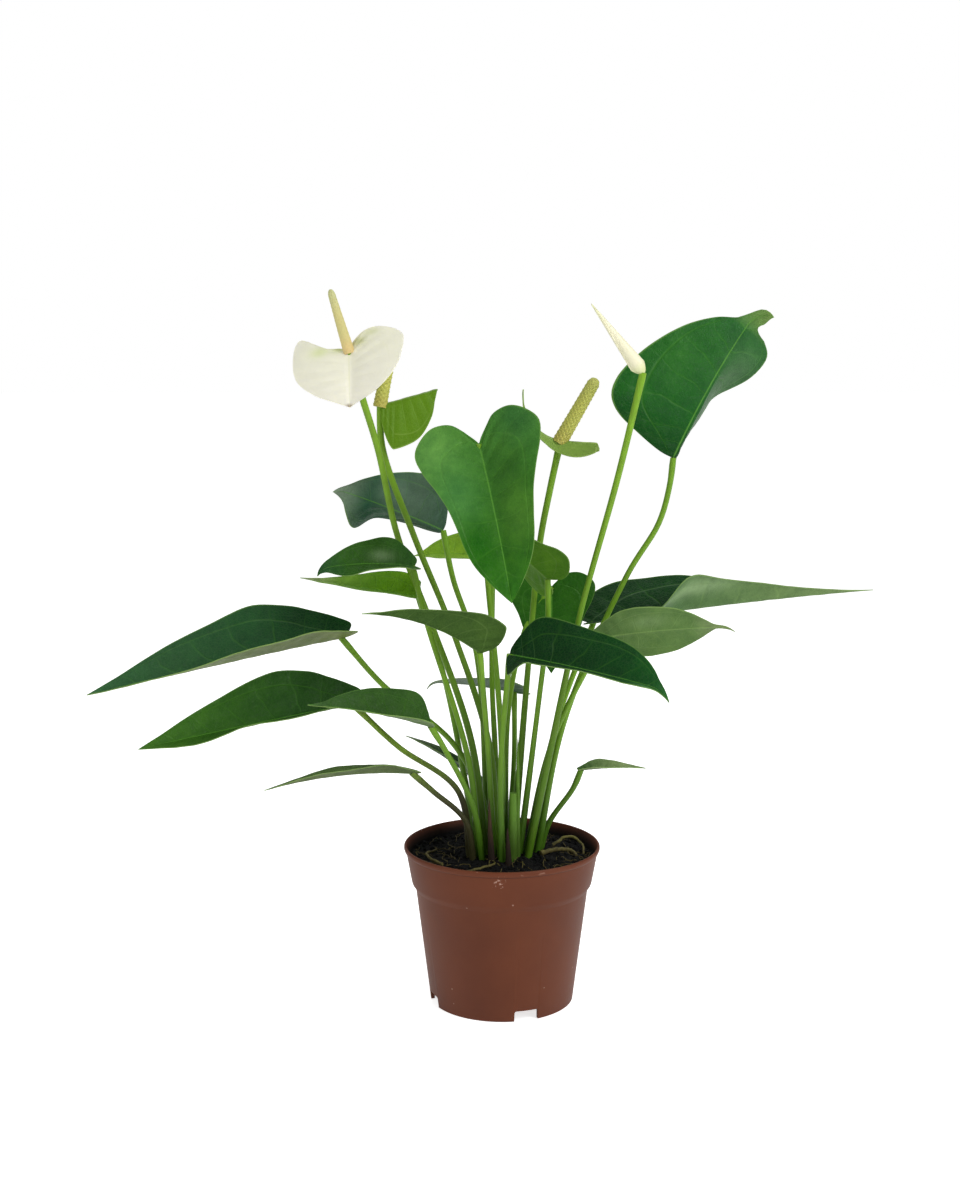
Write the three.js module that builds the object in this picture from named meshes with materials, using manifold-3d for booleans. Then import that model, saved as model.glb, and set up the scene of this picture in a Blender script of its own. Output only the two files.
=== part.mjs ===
// Potted anthurium: a young flowering plant in a round plastic nursery pot.
// Millimetres, +Z up, +Y away from the plant's front. The origin is the middle of the pot's foot,
// on the surface that it stands on.
//
// The plant is a clump of leaves and flowers that all rise from the soil. Each leaf is a blade on a
// petiole. Each flower is a spathe and a spadix on a peduncle.

import * as THREE from "three";
import { mergeVertices } from "three/addons/utils/BufferGeometryUtils.js";
import Module from "manifold-3d";

const wasm = await Module();
wasm.setup();

// ---------------------------------------------------------------- driving dimensions
const GAP = 0.4; // left between two pieces that touch on the real plant
const POT = {
  height: 97,
  mouthRadius: 60, // outside of the lip
  footRadius: 44,
  wall: 1.2,
  footWall: 2.2, // the wall is thicker where it stands
  floor: 5, // underside of the raised floor
  notches: 4,
  notchWidth: 15,
  notchHeight: 6.5,
  firstNotch: -71, // degrees round from the +X axis
};
const SOIL = { top: 89, mound: 3, moundRadius: 34 };
const BLADE_THICKNESS = 0.8;
const SPATHE_THICKNESS = 0.9;
const PEDUNCLE = { foot: 2.4, middle: 1.75, top: 2.1 };
const PETIOLE = { foot: 2.3, middle: 1.65, knee: 1.75 }; // radii: at the soil, halfway, under the blade

// The outline of half a blade, from the notch where the petiole joins, round the lobe, to the tip.
// Each point is [along the midrib, out from it], as shares of the blade's length and half width.
const HEART = [
  [0, 0], [-0.06, 0.12], [-0.15, 0.33], [-0.17, 0.6], [-0.12, 0.84], [-0.02, 1],
  [0.14, 0.94], [0.32, 0.76], [0.52, 0.62], [0.7, 0.44], [0.85, 0.21], [0.94, 0.07], [1, 0],
];
const FULL_HEART = [
  [0, 0], [-0.06, 0.12], [-0.15, 0.33], [-0.17, 0.6], [-0.12, 0.84], [-0.02, 1], [0.1, 0.95],
  [0.23, 0.81], [0.36, 0.69], [0.5, 0.61], [0.63, 0.55], [0.75, 0.45], [0.87, 0.26], [0.95, 0.1], [1, 0],
];
const OVATE = [
  [0, 0], [0, 0.2], [0.03, 0.5], [0.07, 0.8], [0.13, 0.97], [0.22, 1], [0.34, 0.93],
  [0.46, 0.82], [0.62, 0.61], [0.76, 0.38], [0.87, 0.15], [0.94, 0.06], [1, 0],
];
const BROAD = [
  [0, 0], [0, 0.2], [0.03, 0.5], [0.07, 0.8], [0.13, 0.97], [0.24, 1], [0.4, 0.97],
  [0.56, 0.88], [0.7, 0.73], [0.81, 0.5], [0.88, 0.22], [0.94, 0.09], [1, 0],
];
const LANCE = [
  [0, 0], [-0.04, 0.1], [-0.06, 0.26], [-0.01, 0.44], [0.07, 0.66], [0.16, 0.89], [0.28, 1],
  [0.4, 0.92], [0.55, 0.75], [0.72, 0.48], [0.88, 0.2], [0.96, 0.07], [1, 0],
];
const TAPER = [
  [0, 0], [-0.04, 0.15], [-0.04, 0.4], [0.03, 0.75], [0.14, 0.97], [0.25, 1],
  [0.37, 0.87], [0.52, 0.58], [0.72, 0.28], [0.87, 0.11], [0.95, 0.04], [1, 0],
];
const SLIM_HEART = [
  [0, 0], [-0.06, 0.12], [-0.15, 0.33], [-0.17, 0.6], [-0.12, 0.84], [-0.02, 1],
  [0.14, 0.94], [0.32, 0.7], [0.52, 0.46], [0.7, 0.26], [0.85, 0.1], [0.94, 0.04], [1, 0],
];
const TAILED = [
  [0, 0], [-0.04, 0.1], [-0.06, 0.26], [-0.01, 0.44], [0.07, 0.66], [0.16, 0.89], [0.28, 1],
  [0.4, 0.94], [0.55, 0.78], [0.68, 0.52], [0.78, 0.24], [0.84, 0.08], [0.92, 0.05], [1, 0],
];
const HOOKED = [
  [0, 0], [0, 0.2], [0.03, 0.5], [0.07, 0.8], [0.13, 0.97], [0.22, 1], [0.34, 0.93],
  [0.46, 0.82], [0.62, 0.61], [0.75, 0.37], [0.83, 0.15], [0.88, 0.08], [0.94, 0.07], [1, 0],
];
const HOOKED_RIGHT = [
  [0, 0], [0, 0.2], [0.05, 0.5], [0.12, 0.8], [0.25, 0.95], [0.36, 0.72], [0.53, 0.56],
  [0.68, 0.48], [0.78, 0.42], [0.83, 0.28], [0.87, 0.12], [0.94, 0.1], [1, 0],
];
const FLAG = [
  [0, 0], [0.02, 0.08], [0.08, 0.16], [0.2, 0.22], [0.35, 0.28], [0.5, 0.4], [0.6, 0.54],
  [0.67, 0.63], [0.73, 0.6], [0.8, 0.42], [0.86, 0.22], [0.92, 0.1], [1, 0],
];
const SPREAD = [
  [0, 0], [-0.14, 0.1], [-0.32, 0.3], [-0.42, 0.58], [-0.36, 0.86], [-0.18, 1],
  [0, 0.88], [0.26, 0.5], [0.5, 0.3], [0.75, 0.13], [0.9, 0.06], [1, 0],
];
const LOW_WING = [
  [0, 0], [-0.05, 0.15], [-0.08, 0.35], [-0.13, 0.55], [-0.27, 0.76], [-0.28, 0.9], [-0.12, 1],
  [0.22, 1], [0.5, 0.88], [0.76, 0.58], [0.91, 0.24], [0.97, 0.08], [1, 0],
];
const WINGED = [
  [0, 0], [-0.14, 0.08], [-0.3, 0.28], [-0.36, 0.55], [-0.26, 0.84], [-0.05, 1],
  [0.22, 0.98], [0.5, 0.85], [0.76, 0.54], [0.9, 0.22], [0.96, 0.08], [1, 0],
];

// ---------------------------------------------------------------- leaves
// at: where the petiole joins the blade. heading and pitch: where the midrib points there, as an angle
// round from +X and one above level. roll: the blade's turn about the midrib, right side down.
// fold: rows of [share of the length, left, right], how far each half rises from flat at that share.
// cup: how far each half curls on from there by its margin.
// droop and sweep: how far the midrib bends down and to its right by the tip.
// curl and hook: the extra bend of the last sixth, down and to its right.
// left and right: a half's own outline, where the two halves differ.
// lobe: how far the lobes reach back, as a share of the outline's.
// wave: height of the ripples along the margin. Angles are degrees.
// crown and via: where the petiole leaves the soil, and points that it passes.
const LEAVES = [
  { name: "leaf_01", at: [-14, -28, 343], heading: -66, pitch: -58, roll: 26, length: 96, width: 76,
    outline: FULL_HEART, fold: [[0, 26, 8]], cup: -20, droop: 22, sweep: 4,
    crown: [-1, -12], via: [[0, -8, 150], [-3, -6, 200], [-9, -10, 262]] },
  { name: "leaf_02", at: [102, 5, 333], heading: 26, pitch: 62, roll: 70, length: 118, width: 104,
    left: HOOKED, right: HOOKED_RIGHT, fold: [[0, 5, -80], [0.45, 5, -72], [0.8, 5, -10]], cup: -10,
    droop: 18, sweep: 14, wave: 2, curl: -90, hook: 80,
    crown: [21, 3], via: [[38, 4, 173], [75, 4, 262], [94, 5, 294], [100, 5, 316]] },
  { name: "leaf_03", at: [57, 28, 230], heading: 12, pitch: 6.7, roll: -8, length: 186, width: 62,
    outline: TAPER, fold: [[0, 50, 0], [0.15, 50, 5], [0.37, 50, 52], [1, 50, 50]], cup: 0, droop: 4,
    crown: [15, 7], via: [[34, 14, 170]] },
  { name: "leaf_04", at: [60, -12, 227.5], heading: -8, pitch: 10, roll: -55, length: 80, width: 42,
    outline: TAILED, fold: [[0, 5, 5]], cup: -10, droop: 12, curl: 40,
    crown: [14, 0], via: [[30, -2, 160]] },
  { name: "leaf_05", at: [4, -29, 220], heading: -21, pitch: -6, roll: 24, length: 101, width: 54,
    outline: BROAD, fold: [[0, 34, -10], [0.2, 34, 34], [1, 34, 34]], cup: 0, droop: 8, curl: 60,
    crown: [0, -18], via: [[-1, -20, 150]] },
  { name: "leaf_06", at: [-13.5, -32, 221.5], heading: -167, pitch: 37, roll: 25, length: 78, width: 48,
    outline: SLIM_HEART, lobe: 0.4, fold: [[0, 40, 70]], cup: 0, droop: 36,
    crown: [-5, -9], via: [[-8, -14, 150]] },
  { name: "leaf_07", at: [-97, -5, 226], heading: -158, pitch: -8, roll: -14, length: 153, width: 64,
    outline: LANCE, fold: [[0, 41, 41], [1, 25, 45]], cup: 0, droop: 2,
    crown: [-12, 5], via: [[-11, 6, 120], [-30, 4, 159], [-72, -1, 196]] },
  { name: "leaf_08", at: [-89, -25, 189.5], heading: -160, pitch: -7, roll: -24, length: 127, width: 59,
    outline: LANCE, fold: [[0, 38, 34], [0.5, 38, 34], [0.9, 10, 50]], cup: 0, droop: 2,
    crown: [-19, -5], via: [[-27, -13, 134], [-62, -19, 162]] },
  { name: "leaf_09", at: [-42.5, -36, 178.5], heading: -154, pitch: 21, roll: -24, length: 77, width: 40,
    outline: OVATE, fold: [[0, 34, 34]], cup: 0, droop: 15,
    crown: [-11, -13], via: [[-18, -21, 127], [-34, -31, 163]] },
  { name: "leaf_10", at: [-54, -30, 149], heading: -154, pitch: 9, roll: 5, length: 92, width: 16,
    outline: LANCE, fold: [[0, 40, 40]], cup: 0, droop: 18,
    crown: [-17, -12], via: [[-22, -18, 116], [-41, -25, 136]] },
  { name: "leaf_11", at: [-36, 25, 287.5], heading: -167, pitch: 25, roll: -65, length: 74, width: 64,
    left: FLAG, right: OVATE, fold: [[0, -86, 5], [0.55, -82, 5], [0.85, -5, 5]], cup: -10,
    droop: 16, curl: 60,
    crown: [-8, 11], via: [[-16, 19, 214], [-30, 23, 258]] },
  { name: "leaf_12", at: [-53.5, -12, 270], heading: -154, pitch: 10, roll: -20, length: 61, width: 37,
    outline: LANCE, fold: [[0, 15, 45], [0.5, 15, 45], [0.9, -40, 45]], cup: 0, droop: 20,
    wave: 2, curl: 60, crown: [-14, -8], via: [[-20, -10, 150], [-45, -12, 236]] },
  { name: "leaf_13", at: [-5.3, 48, 270], heading: 176, pitch: 3, roll: -25, length: 50, width: 42,
    outline: HEART, fold: [[0, 20, 45]], cup: 0, droop: 10,
    crown: [-3, 10], via: [[-4, 14, 150], [-6, 18, 195]] },
  { name: "leaf_14", at: [-51, 12, 248.5], heading: 173, pitch: 8, roll: -25, length: 74, width: 30,
    outline: TAPER, lobe: 0, fold: [[0, 30, 35]], cup: 0, droop: 0,
    crown: [-14, 10], via: [[-36, 16, 200]] },
  { name: "leaf_15", at: [26.7, -14, 262.5], heading: 165, pitch: 42, roll: 50, length: 46, width: 48,
    outline: HEART, fold: [[0, 10, 10]], cup: 0, droop: 10,
    crown: [10, -4], via: [[22, -4, 186], [27, -10, 236]] },
  { name: "leaf_16", at: [31, 30, 252], heading: -92, pitch: -80, roll: 0, length: 54, width: 54,
    outline: HEART, fold: [[0, 5, 5]], cup: -15, droop: 5,
    crown: [2, 9], via: [[5, 17, 184], [18, 29, 234]] },
  { name: "leaf_17", at: [49, 10, 141], heading: 12, pitch: 4, roll: 10, length: 42, width: 12,
    outline: LANCE, fold: [[0, 30, 30]], cup: 0, droop: 12,
    crown: [23, 9], via: [[29, 9, 107], [44, 10, 129]] },
  { name: "leaf_18", at: [8.3, 44, 182.8], heading: 172, pitch: 12, roll: 20, length: 58, width: 40,
    outline: HEART, fold: [[0, 10, 10]], cup: 0, droop: 15, curl: 60,
    crown: [4, 17], via: [[8, 28, 145]] },
  { name: "leaf_19", at: [-12, 27, 126], heading: 170, pitch: 42, roll: 0, length: 58, width: 18,
    outline: LANCE, fold: [[0, 30, 30]], cup: 0, droop: 20,
    crown: [-3, 16], via: [[-8, 21, 108]] },
];

// ---------------------------------------------------------------- flowers
// A spathe is described as a blade. The spadix stands on its upper face, at its notch.
const FLOWERS = [
  { name: "flower_01", color: "spathe", crown: [-9, -4],
    via: [[-19, -2, 163], [-43, 1, 234], [-63, 2, 287], [-74, -2, 339], [-83, -5, 370]],
    at: [-90, -8, 396], heading: -85, pitch: -55, roll: 0, length: 36, width: 70,
    left: WINGED, right: LOW_WING, fold: [[0, 38, -12]], cup: -20, droop: 20,
    spadix: { tip: [-100.5, -8, 431.5], foot: 3.4, top: 2 } },
  { name: "flower_02", color: "greenSpathe", crown: [-4, 4],
    via: [[-7, 6, 153], [-29, 8, 225], [-53, 9, 285], [-72, 10, 339]],
    at: [-73, 10, 364], heading: 10, pitch: 15, roll: 18, length: 36, width: 58, lobe: 0.15,
    outline: WINGED, fold: [[0, -58, -58]], cup: 0, droop: 0,
    spadix: { tip: [-67, 13, 392], foot: 4.1, top: 3.3 } },
  { name: "flower_03", color: "greenSpathe", crown: [7, 3],
    via: [[10, 2.5, 131], [16, 8, 206], [23, 12, 282], [28.5, 12, 312]],
    at: [35, 12, 343], heading: 172, pitch: 10, roll: -10, length: 42, width: 23,
    outline: SPREAD, lobe: 1.4, fold: [[0, -38, -65]], cup: 0, droop: -90,
    spadix: { tip: [56, 10, 380], foot: 4.5, top: 3.6 } },
];
const BUD = {
  name: "flower_04", crown: [15, -7], via: [[28, -9, 152], [46, -13, 241], [67, -17, 322]],
  at: [81.5, -20, 382.7], tip: [50.3, -20, 423], radius: 4.4,
};

// ---------------------------------------------------------------- shoots and roots at the soil
const SHOOTS = [
  { name: "shoot_stub", path: [[6, -16, 88], [6.5, -16, 112], [6.5, -16, 133]], foot: 3, top: 2.2 },
  { name: "shoot_young", path: [[9, -10, 88], [9.4, -10, 130], [9.4, -10, 166]], foot: 2.4, top: 0.6 },
  { name: "sheath_left", path: [[-6, -19, 88], [-7.4, -20, 112], [-8, -20, 131]], foot: 2.6, top: 0.6 },
  { name: "sheath_front", path: [[4, -23, 88], [3.5, -22.5, 100], [3, -22, 113]], foot: 2.4, top: 0.6 },
];
const ROOTS = [
  { name: "root_left", radius: 1, path: [[-36, -24, 91], [-44, -14, 92], [-46, 0, 91], [-40, 10, 90]] },
  { name: "root_front", radius: 1, path: [[-32, -44, 90], [-22, -38, 91], [-10, -32, 92], [-2, -20, 92]] },
  { name: "root_right", radius: 1.6, path: [[24, -4, 92], [34, 4, 92], [42, 6, 91], [46, -2, 90]] },
  { name: "root_back", radius: 1, path: [[32, 14, 92], [42, 18, 96], [50, 12, 93], [50, 0, 90]] },
];

// ---------------------------------------------------------------- shared tools
const rad = THREE.MathUtils.degToRad;
const mix = THREE.MathUtils.lerp;
const vec = (p) => new THREE.Vector3(...p);

// A geometry's surface as a manifold-3d solid, in its own frame.
function solidOf(geometry) {
  const bare = new THREE.BufferGeometry().setAttribute("position", geometry.getAttribute("position"));
  if (geometry.index) bare.setIndex(geometry.index);
  const merged = mergeVertices(bare, 1e-4);
  return new wasm.Manifold(
    new wasm.Mesh({
      numProp: 3,
      vertProperties: merged.attributes.position.array,
      triVerts: new Uint32Array(merged.index.array),
    }),
  );
}

// The largest body of a solid, as a geometry.
function geometryOf(solid) {
  const largest = solid.decompose().reduce((a, b) => (b.volume() > a.volume() ? b : a));
  const mesh = largest.getMesh();
  return new THREE.BufferGeometry()
    .setAttribute("position", new THREE.BufferAttribute(mesh.vertProperties, 3))
    .setIndex(new THREE.BufferAttribute(mesh.triVerts, 1));
}

const plant = new THREE.Group();

function addMesh(name, geometry, material) {
  geometry.computeVertexNormals();
  const mesh = new THREE.Mesh(geometry, material);
  mesh.name = name;
  plant.add(mesh);
  return mesh;
}

const matte = (color, roughness) => new THREE.MeshStandardMaterial({ color, roughness, metalness: 0 });
const MATERIAL = {
  pot: matte("#8f4a33", 0.5),
  soil: matte("#1d1712", 0.95),
  leaf: matte("#2f6b2a", 0.4),
  youngLeaf: matte("#6f9a2a", 0.45),
  petiole: matte("#6c9431", 0.5),
  spathe: matte("#f0eed8", 0.45),
  greenSpathe: matte("#7fa32c", 0.45),
  spadix: matte("#d9cf86", 0.6),
  root: matte("#8a7440", 0.8),
  sheath: matte("#4a3524", 0.85),
};

// ---------------------------------------------------------------- blades and spathes
// The frame of the midrib at a distance along it: bent, swept and twisted step by step from its base.
function midribFrame(leaf, along) {
  const heading = rad(leaf.heading);
  const pitch = rad(leaf.pitch);
  const at = vec(leaf.at);
  const ahead = new THREE.Vector3(
    Math.cos(heading) * Math.cos(pitch), Math.sin(heading) * Math.cos(pitch), Math.sin(pitch),
  );
  const up = new THREE.Vector3(
    -Math.cos(heading) * Math.sin(pitch), -Math.sin(heading) * Math.sin(pitch), Math.cos(pitch),
  );
  up.applyAxisAngle(ahead, rad(leaf.roll));
  const right = ahead.clone().cross(up);
  const steps = 20;
  const step = along / steps;
  const curlStart = 0.83;
  const rear = 10; // the lobes bend up by this much behind the petiole
  const lobeReach = 0.2;
  for (let i = 0; i < steps; i++) {
    const share = ((i + 0.5) * step) / leaf.length;
    const turn = step / leaf.length;
    let down = leaf.droop;
    let aside = leaf.sweep || 0;
    if (share > curlStart) {
      down += (leaf.curl || 0) / (1 - curlStart);
      aside += (leaf.hook || 0) / (1 - curlStart);
    }
    if (share < 0) down = -rear / lobeReach;
    at.addScaledVector(ahead, step);
    for (const [axis, angle] of [[right.clone(), -down], [up.clone(), -aside]])
      for (const v of [ahead, up, right]) v.applyAxisAngle(axis, rad(angle * turn));
  }
  return { at, ahead, up, right };
}

// How far the left and right halves rise at a share of the length, eased from one row to the next.
function foldAt(leaf, share) {
  const rows = leaf.fold;
  const next = rows.findIndex(([start]) => start > share);
  if (next === 0) return rows[0].slice(1);
  if (next < 0) return rows.at(-1).slice(1);
  const [before, after] = [rows[next - 1], rows[next]];
  const ease = THREE.MathUtils.smoothstep(share, before[0], after[0]);
  return [1, 2].map((i) => mix(before[i], after[i], ease));
}

// A flat point of the blade, carried to its place: along the midrib, across it (right is positive).
function bladePoint(leaf, along, across, rise) {
  const { at, up, right } = midribFrame(leaf, along);
  const side = across < 0 ? 0 : 1;
  const out = Math.abs(across);
  const half = leaf.width / 2;
  const folds = foldAt(leaf, along / leaf.length).map(rad);
  if (out === 0) {
    // On the midrib the skins of the two halves meet in a mitre.
    const x = Math.sin(folds[0]) - Math.sin(folds[1]);
    const z = Math.cos(folds[0]) + Math.cos(folds[1]);
    const mitre = (2 * rise) / (x * x + z * z);
    return at.addScaledVector(right, x * mitre).addScaledVector(up, z * mitre);
  }
  const start = folds[side];
  const bend = rad(leaf.cup || 0.01) / half;
  const end = start + bend * out;
  const sideways = (Math.sin(end) - Math.sin(start)) / bend;
  const ripple = (leaf.wave || 1) * Math.sin(along / 9 + side * 2) * (out / half) ** 2;
  const lift = (Math.cos(start) - Math.cos(end)) / bend + ripple;
  const outward = right.multiplyScalar(side ? 1 : -1);
  return at
    .addScaledVector(outward, sideways - rise * Math.sin(end))
    .addScaledVector(up, lift + rise * Math.cos(end));
}

// A closed blade: an upper and a lower skin that share no points, joined round the margin. Rows run
// across the blade from margin to margin, and meet in one point at the notch and one at the tip.
function bladeGeometry(blade, upper, lower, rows = 12, columns = 3) {
  const margins = [blade.left || blade.outline, blade.right || blade.outline].map(
    (outline) => new THREE.SplineCurve(outline.map(([x, y]) => new THREE.Vector2(x, y))),
  );
  const fan = 1.7; // the side veins bunch up towards the notch
  const points = [];
  const index = new Map();
  const key = (skin, row, column) =>
    row === 0 || row === rows ? `${skin},${row}` : `${skin},${row},${column}`;
  for (const [skin, rise] of [["upper", upper], ["lower", lower]])
    for (let row = 0; row <= rows; row++)
      for (let column = -columns; column <= columns; column++) {
        const name = key(skin, row, column);
        if (index.has(name)) continue;
        const share = row / rows;
        const edge = margins[column < 0 ? 0 : 1].getPointAt(share);
        if (edge.x < 0) edge.x *= blade.lobe ?? 1;
        const spine = share ** fan;
        const v = Math.abs(column) / columns;
        const along = blade.length * (spine + (edge.x - spine) * v);
        const across = (blade.width / 2) * edge.y * v * Math.sign(column);
        const pole = row === 0 || row === rows;
        index.set(name, points.length / 3);
        const p = bladePoint(blade, pole ? blade.length * edge.x : along, pole ? 0 : across, rise);
        points.push(p.x, p.y, p.z);
      }
  const faces = [];
  const quad = (a, b, c, d) => {
    for (const [p, q, r] of [[a, b, c], [a, c, d]])
      if (p !== q && q !== r && r !== p) faces.push(p, q, r);
  };
  const at = (skin, row, column) => index.get(key(skin, row, column));
  for (let row = 0; row < rows; row++) {
    for (let j = -columns; j < columns; j++) {
      const [a, b, c, d] = [[row, j], [row, j + 1], [row + 1, j + 1], [row + 1, j]];
      quad(at("upper", ...a), at("upper", ...b), at("upper", ...c), at("upper", ...d));
      quad(at("lower", ...a), at("lower", ...d), at("lower", ...c), at("lower", ...b));
    }
    const [l, r] = [-columns, columns];
    quad(at("upper", row, l), at("upper", row + 1, l), at("lower", row + 1, l), at("lower", row, l));
    quad(at("upper", row + 1, r), at("upper", row, r), at("lower", row, r), at("lower", row + 1, r));
  }
  return new THREE.BufferGeometry()
    .setAttribute("position", new THREE.Float32BufferAttribute(points, 3))
    .setIndex(faces);
}

// ---------------------------------------------------------------- stems
// A solid rod along a smooth curve through some points. radiusAt gives its radius at a share of its length.
function rodGeometry(points, radiusAt, steps = 9, sides = 7) {
  const curve = new THREE.CatmullRomCurve3(points.map(vec), false, "centripetal");
  const frames = curve.computeFrenetFrames(steps, false);
  const positions = [];
  const push = (p) => positions.push(p.x, p.y, p.z);
  for (let i = 0; i <= steps; i++) {
    const centre = curve.getPointAt(i / steps);
    const radius = radiusAt(i / steps);
    for (let k = 0; k < sides; k++) {
      const angle = (2 * Math.PI * k) / sides;
      push(
        centre.clone()
          .addScaledVector(frames.normals[i], radius * Math.cos(angle))
          .addScaledVector(frames.binormals[i], radius * Math.sin(angle)),
      );
    }
  }
  const first = positions.length / 3;
  push(curve.getPointAt(0));
  push(curve.getPointAt(1));
  const faces = [];
  for (let k = 0; k < sides; k++) {
    const next = (k + 1) % sides;
    for (let i = 0; i < steps; i++) {
      const [a, b] = [i * sides + k, i * sides + next];
      faces.push(a, b, b + sides, a, b + sides, a + sides);
    }
    faces.push(first, next, k, first + 1, steps * sides + k, steps * sides + next);
  }
  return new THREE.BufferGeometry()
    .setAttribute("position", new THREE.Float32BufferAttribute(positions, 3))
    .setIndex(faces);
}

const stemRadius = (foot, middle, top) => (share) =>
  share < 0.5 ? mix(foot, middle, share * 2) : mix(middle, top, share * 2 - 1);

// ---------------------------------------------------------------- pot and soil
// Height and outside radius of the pot's wall, from the foot to the lip: a plain cone, a step out to
// the rim band, and a lip that flares at the mouth.
const WALL = [
  [0, POT.footRadius], [70, 52.8], [75, 55.4], [90, 58.1], [94, 58.9], [POT.height, POT.mouthRadius],
];
const ROUND = 48; // facets round the pot

function potGeometry() {
  const outside = WALL.map(([z, r]) => new THREE.Vector2(r, z));
  const inside = WALL.slice(1).reverse().map(([z, r]) => new THREE.Vector2(r - POT.wall, z));
  const floorTop = POT.floor + POT.wall;
  const wallAtFloor = POT.footRadius + 0.126 * floorTop - POT.wall;
  const profile = [
    new THREE.Vector2(0, POT.floor),
    new THREE.Vector2(POT.footRadius - POT.footWall, POT.floor),
    new THREE.Vector2(POT.footRadius - POT.footWall, 0),
    ...outside,
    ...inside,
    new THREE.Vector2(wallAtFloor, floorTop),
    new THREE.Vector2(0, floorTop),
  ];
  let pot = solidOf(turned(profile));
  for (let i = 0; i < POT.notches; i++) {
    const box = new THREE.BoxGeometry(20, POT.notchWidth, 2 * POT.notchHeight);
    box.translate(POT.footRadius - 2, 0, 0);
    box.rotateZ(rad(POT.firstNotch + (360 / POT.notches) * i));
    pot = pot.subtract(solidOf(box));
  }
  return geometryOf(pot);
}

// A lathe's solid, stood up from three.js's +Y axis to +Z.
function turned(profile) {
  return new THREE.LatheGeometry(profile, ROUND).rotateX(Math.PI / 2);
}

const soilTop = (radius) => SOIL.top + SOIL.mound * Math.max(0, 1 - (radius / SOIL.moundRadius) ** 2);

function soilProfile(gap) {
  const bottom = POT.floor + POT.wall + 0.4;
  const wallAt = (z) => {
    const i = WALL.findIndex(([height]) => height > z);
    const [[z0, r0], [z1, r1]] = [WALL[i - 1], WALL[i]];
    return mix(r0, r1, (z - z0) / (z1 - z0)) - POT.wall - 0.5;
  };
  const top = [1, 0.66, 0.5, 0.33, 0.16].map((share) => {
    const r = share * wallAt(SOIL.top);
    return new THREE.Vector2(r, soilTop(r) + gap);
  });
  return [
    new THREE.Vector2(0, bottom),
    new THREE.Vector2(wallAt(bottom), bottom),
    new THREE.Vector2(wallAt(70) - 0.1, 70),
    new THREE.Vector2(wallAt(75) - 0.1, 75),
    ...top,
    new THREE.Vector2(0, soilTop(0) + gap),
  ];
}

addMesh("pot", potGeometry(), MATERIAL.pot);
addMesh("soil", turned(soilProfile(0)), MATERIAL.soil);
const soilCutter = solidOf(turned(soilProfile(GAP)));

// ---------------------------------------------------------------- leaves and flowers, built
// Adds a blade and the stem that carries it. The stem stops short of the blade and of the soil.
function addBladeOnStem(blade, bladeName, stemName, thickness, bladeMaterial, stemRadii) {
  const half = thickness / 2;
  addMesh(bladeName, bladeGeometry(blade, half, -half), bladeMaterial);
  const wide = { ...blade, width: blade.width + 4 * GAP };
  const back = midribFrame(blade, -2 * GAP).at.toArray();
  const cutter = solidOf(bladeGeometry(wide, half + GAP, -half - GAP)).add(
    solidOf(bladeGeometry({ ...wide, at: back }, half + GAP, -half - GAP)),
  );
  const end = bladePoint(blade, 0, 0, -thickness).toArray();
  const rod = rodGeometry([[...blade.crown, SOIL.top - 3], ...blade.via, end], stemRadius(...stemRadii));
  const stem = solidOf(rod).subtract(soilCutter).subtract(cutter);
  addMesh(stemName, geometryOf(stem), MATERIAL.petiole);
  return cutter;
}

for (const leaf of LEAVES) {
  const radii = [PETIOLE.foot, PETIOLE.middle, PETIOLE.knee];
  addBladeOnStem(leaf, `${leaf.name}_blade`, `${leaf.name}_petiole`, BLADE_THICKNESS, MATERIAL.leaf, radii);
}

const rounded = (foot, top) => (share) =>
  mix(foot, top, share) * Math.sqrt(Math.max(0.03, 1 - (Math.max(0, share - 0.88) / 0.12) ** 2));

for (const flower of FLOWERS) {
  const name = flower.name;
  const radii = [PEDUNCLE.foot, PEDUNCLE.middle, PEDUNCLE.top];
  const material = MATERIAL[flower.color];
  const cutter = addBladeOnStem(
    flower, `${name}_spathe`, `${name}_peduncle`, SPATHE_THICKNESS, material, radii,
  );
  const { foot, top, tip } = flower.spadix;
  const end = vec(tip);
  const start = vec(flower.at).lerp(end, 0.05);
  const path = [start.toArray(), start.clone().lerp(end, 0.5).toArray(), tip];
  const rod = rodGeometry(path, rounded(foot, top), 10, 10);
  addMesh(`${name}_spadix`, geometryOf(solidOf(rod).subtract(cutter)), MATERIAL.spadix);
}

{
  const base = vec(BUD.at);
  const tip = vec(BUD.tip);
  const along = tip.clone().sub(base);
  const belly = 0.12; // the bud is thickest here, as a share of its length
  const swell = (share) =>
    BUD.radius * (share < belly ? mix(0.6, 1, share / belly) : mix(1, 0.08, (share - belly) / (1 - belly)));
  const start = base.clone().addScaledVector(along.clone().normalize(), GAP);
  const middle = base.clone().addScaledVector(along, 0.5);
  const bud = rodGeometry([start.toArray(), middle.toArray(), BUD.tip], swell, 10, 12);
  addMesh(`${BUD.name}_bud`, bud, MATERIAL.spathe);
  const path = [[...BUD.crown, SOIL.top - 3], ...BUD.via, BUD.at];
  const rod = rodGeometry(path, stemRadius(PEDUNCLE.foot, PEDUNCLE.middle, PEDUNCLE.top));
  const roomy = (share) => swell(share) + GAP;
  const cutter = solidOf(rodGeometry([base.toArray(), middle.toArray(), BUD.tip], roomy, 10, 12));
  const peduncle = solidOf(rod).subtract(soilCutter).subtract(cutter);
  addMesh(`${BUD.name}_peduncle`, geometryOf(peduncle), MATERIAL.petiole);
}

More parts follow.
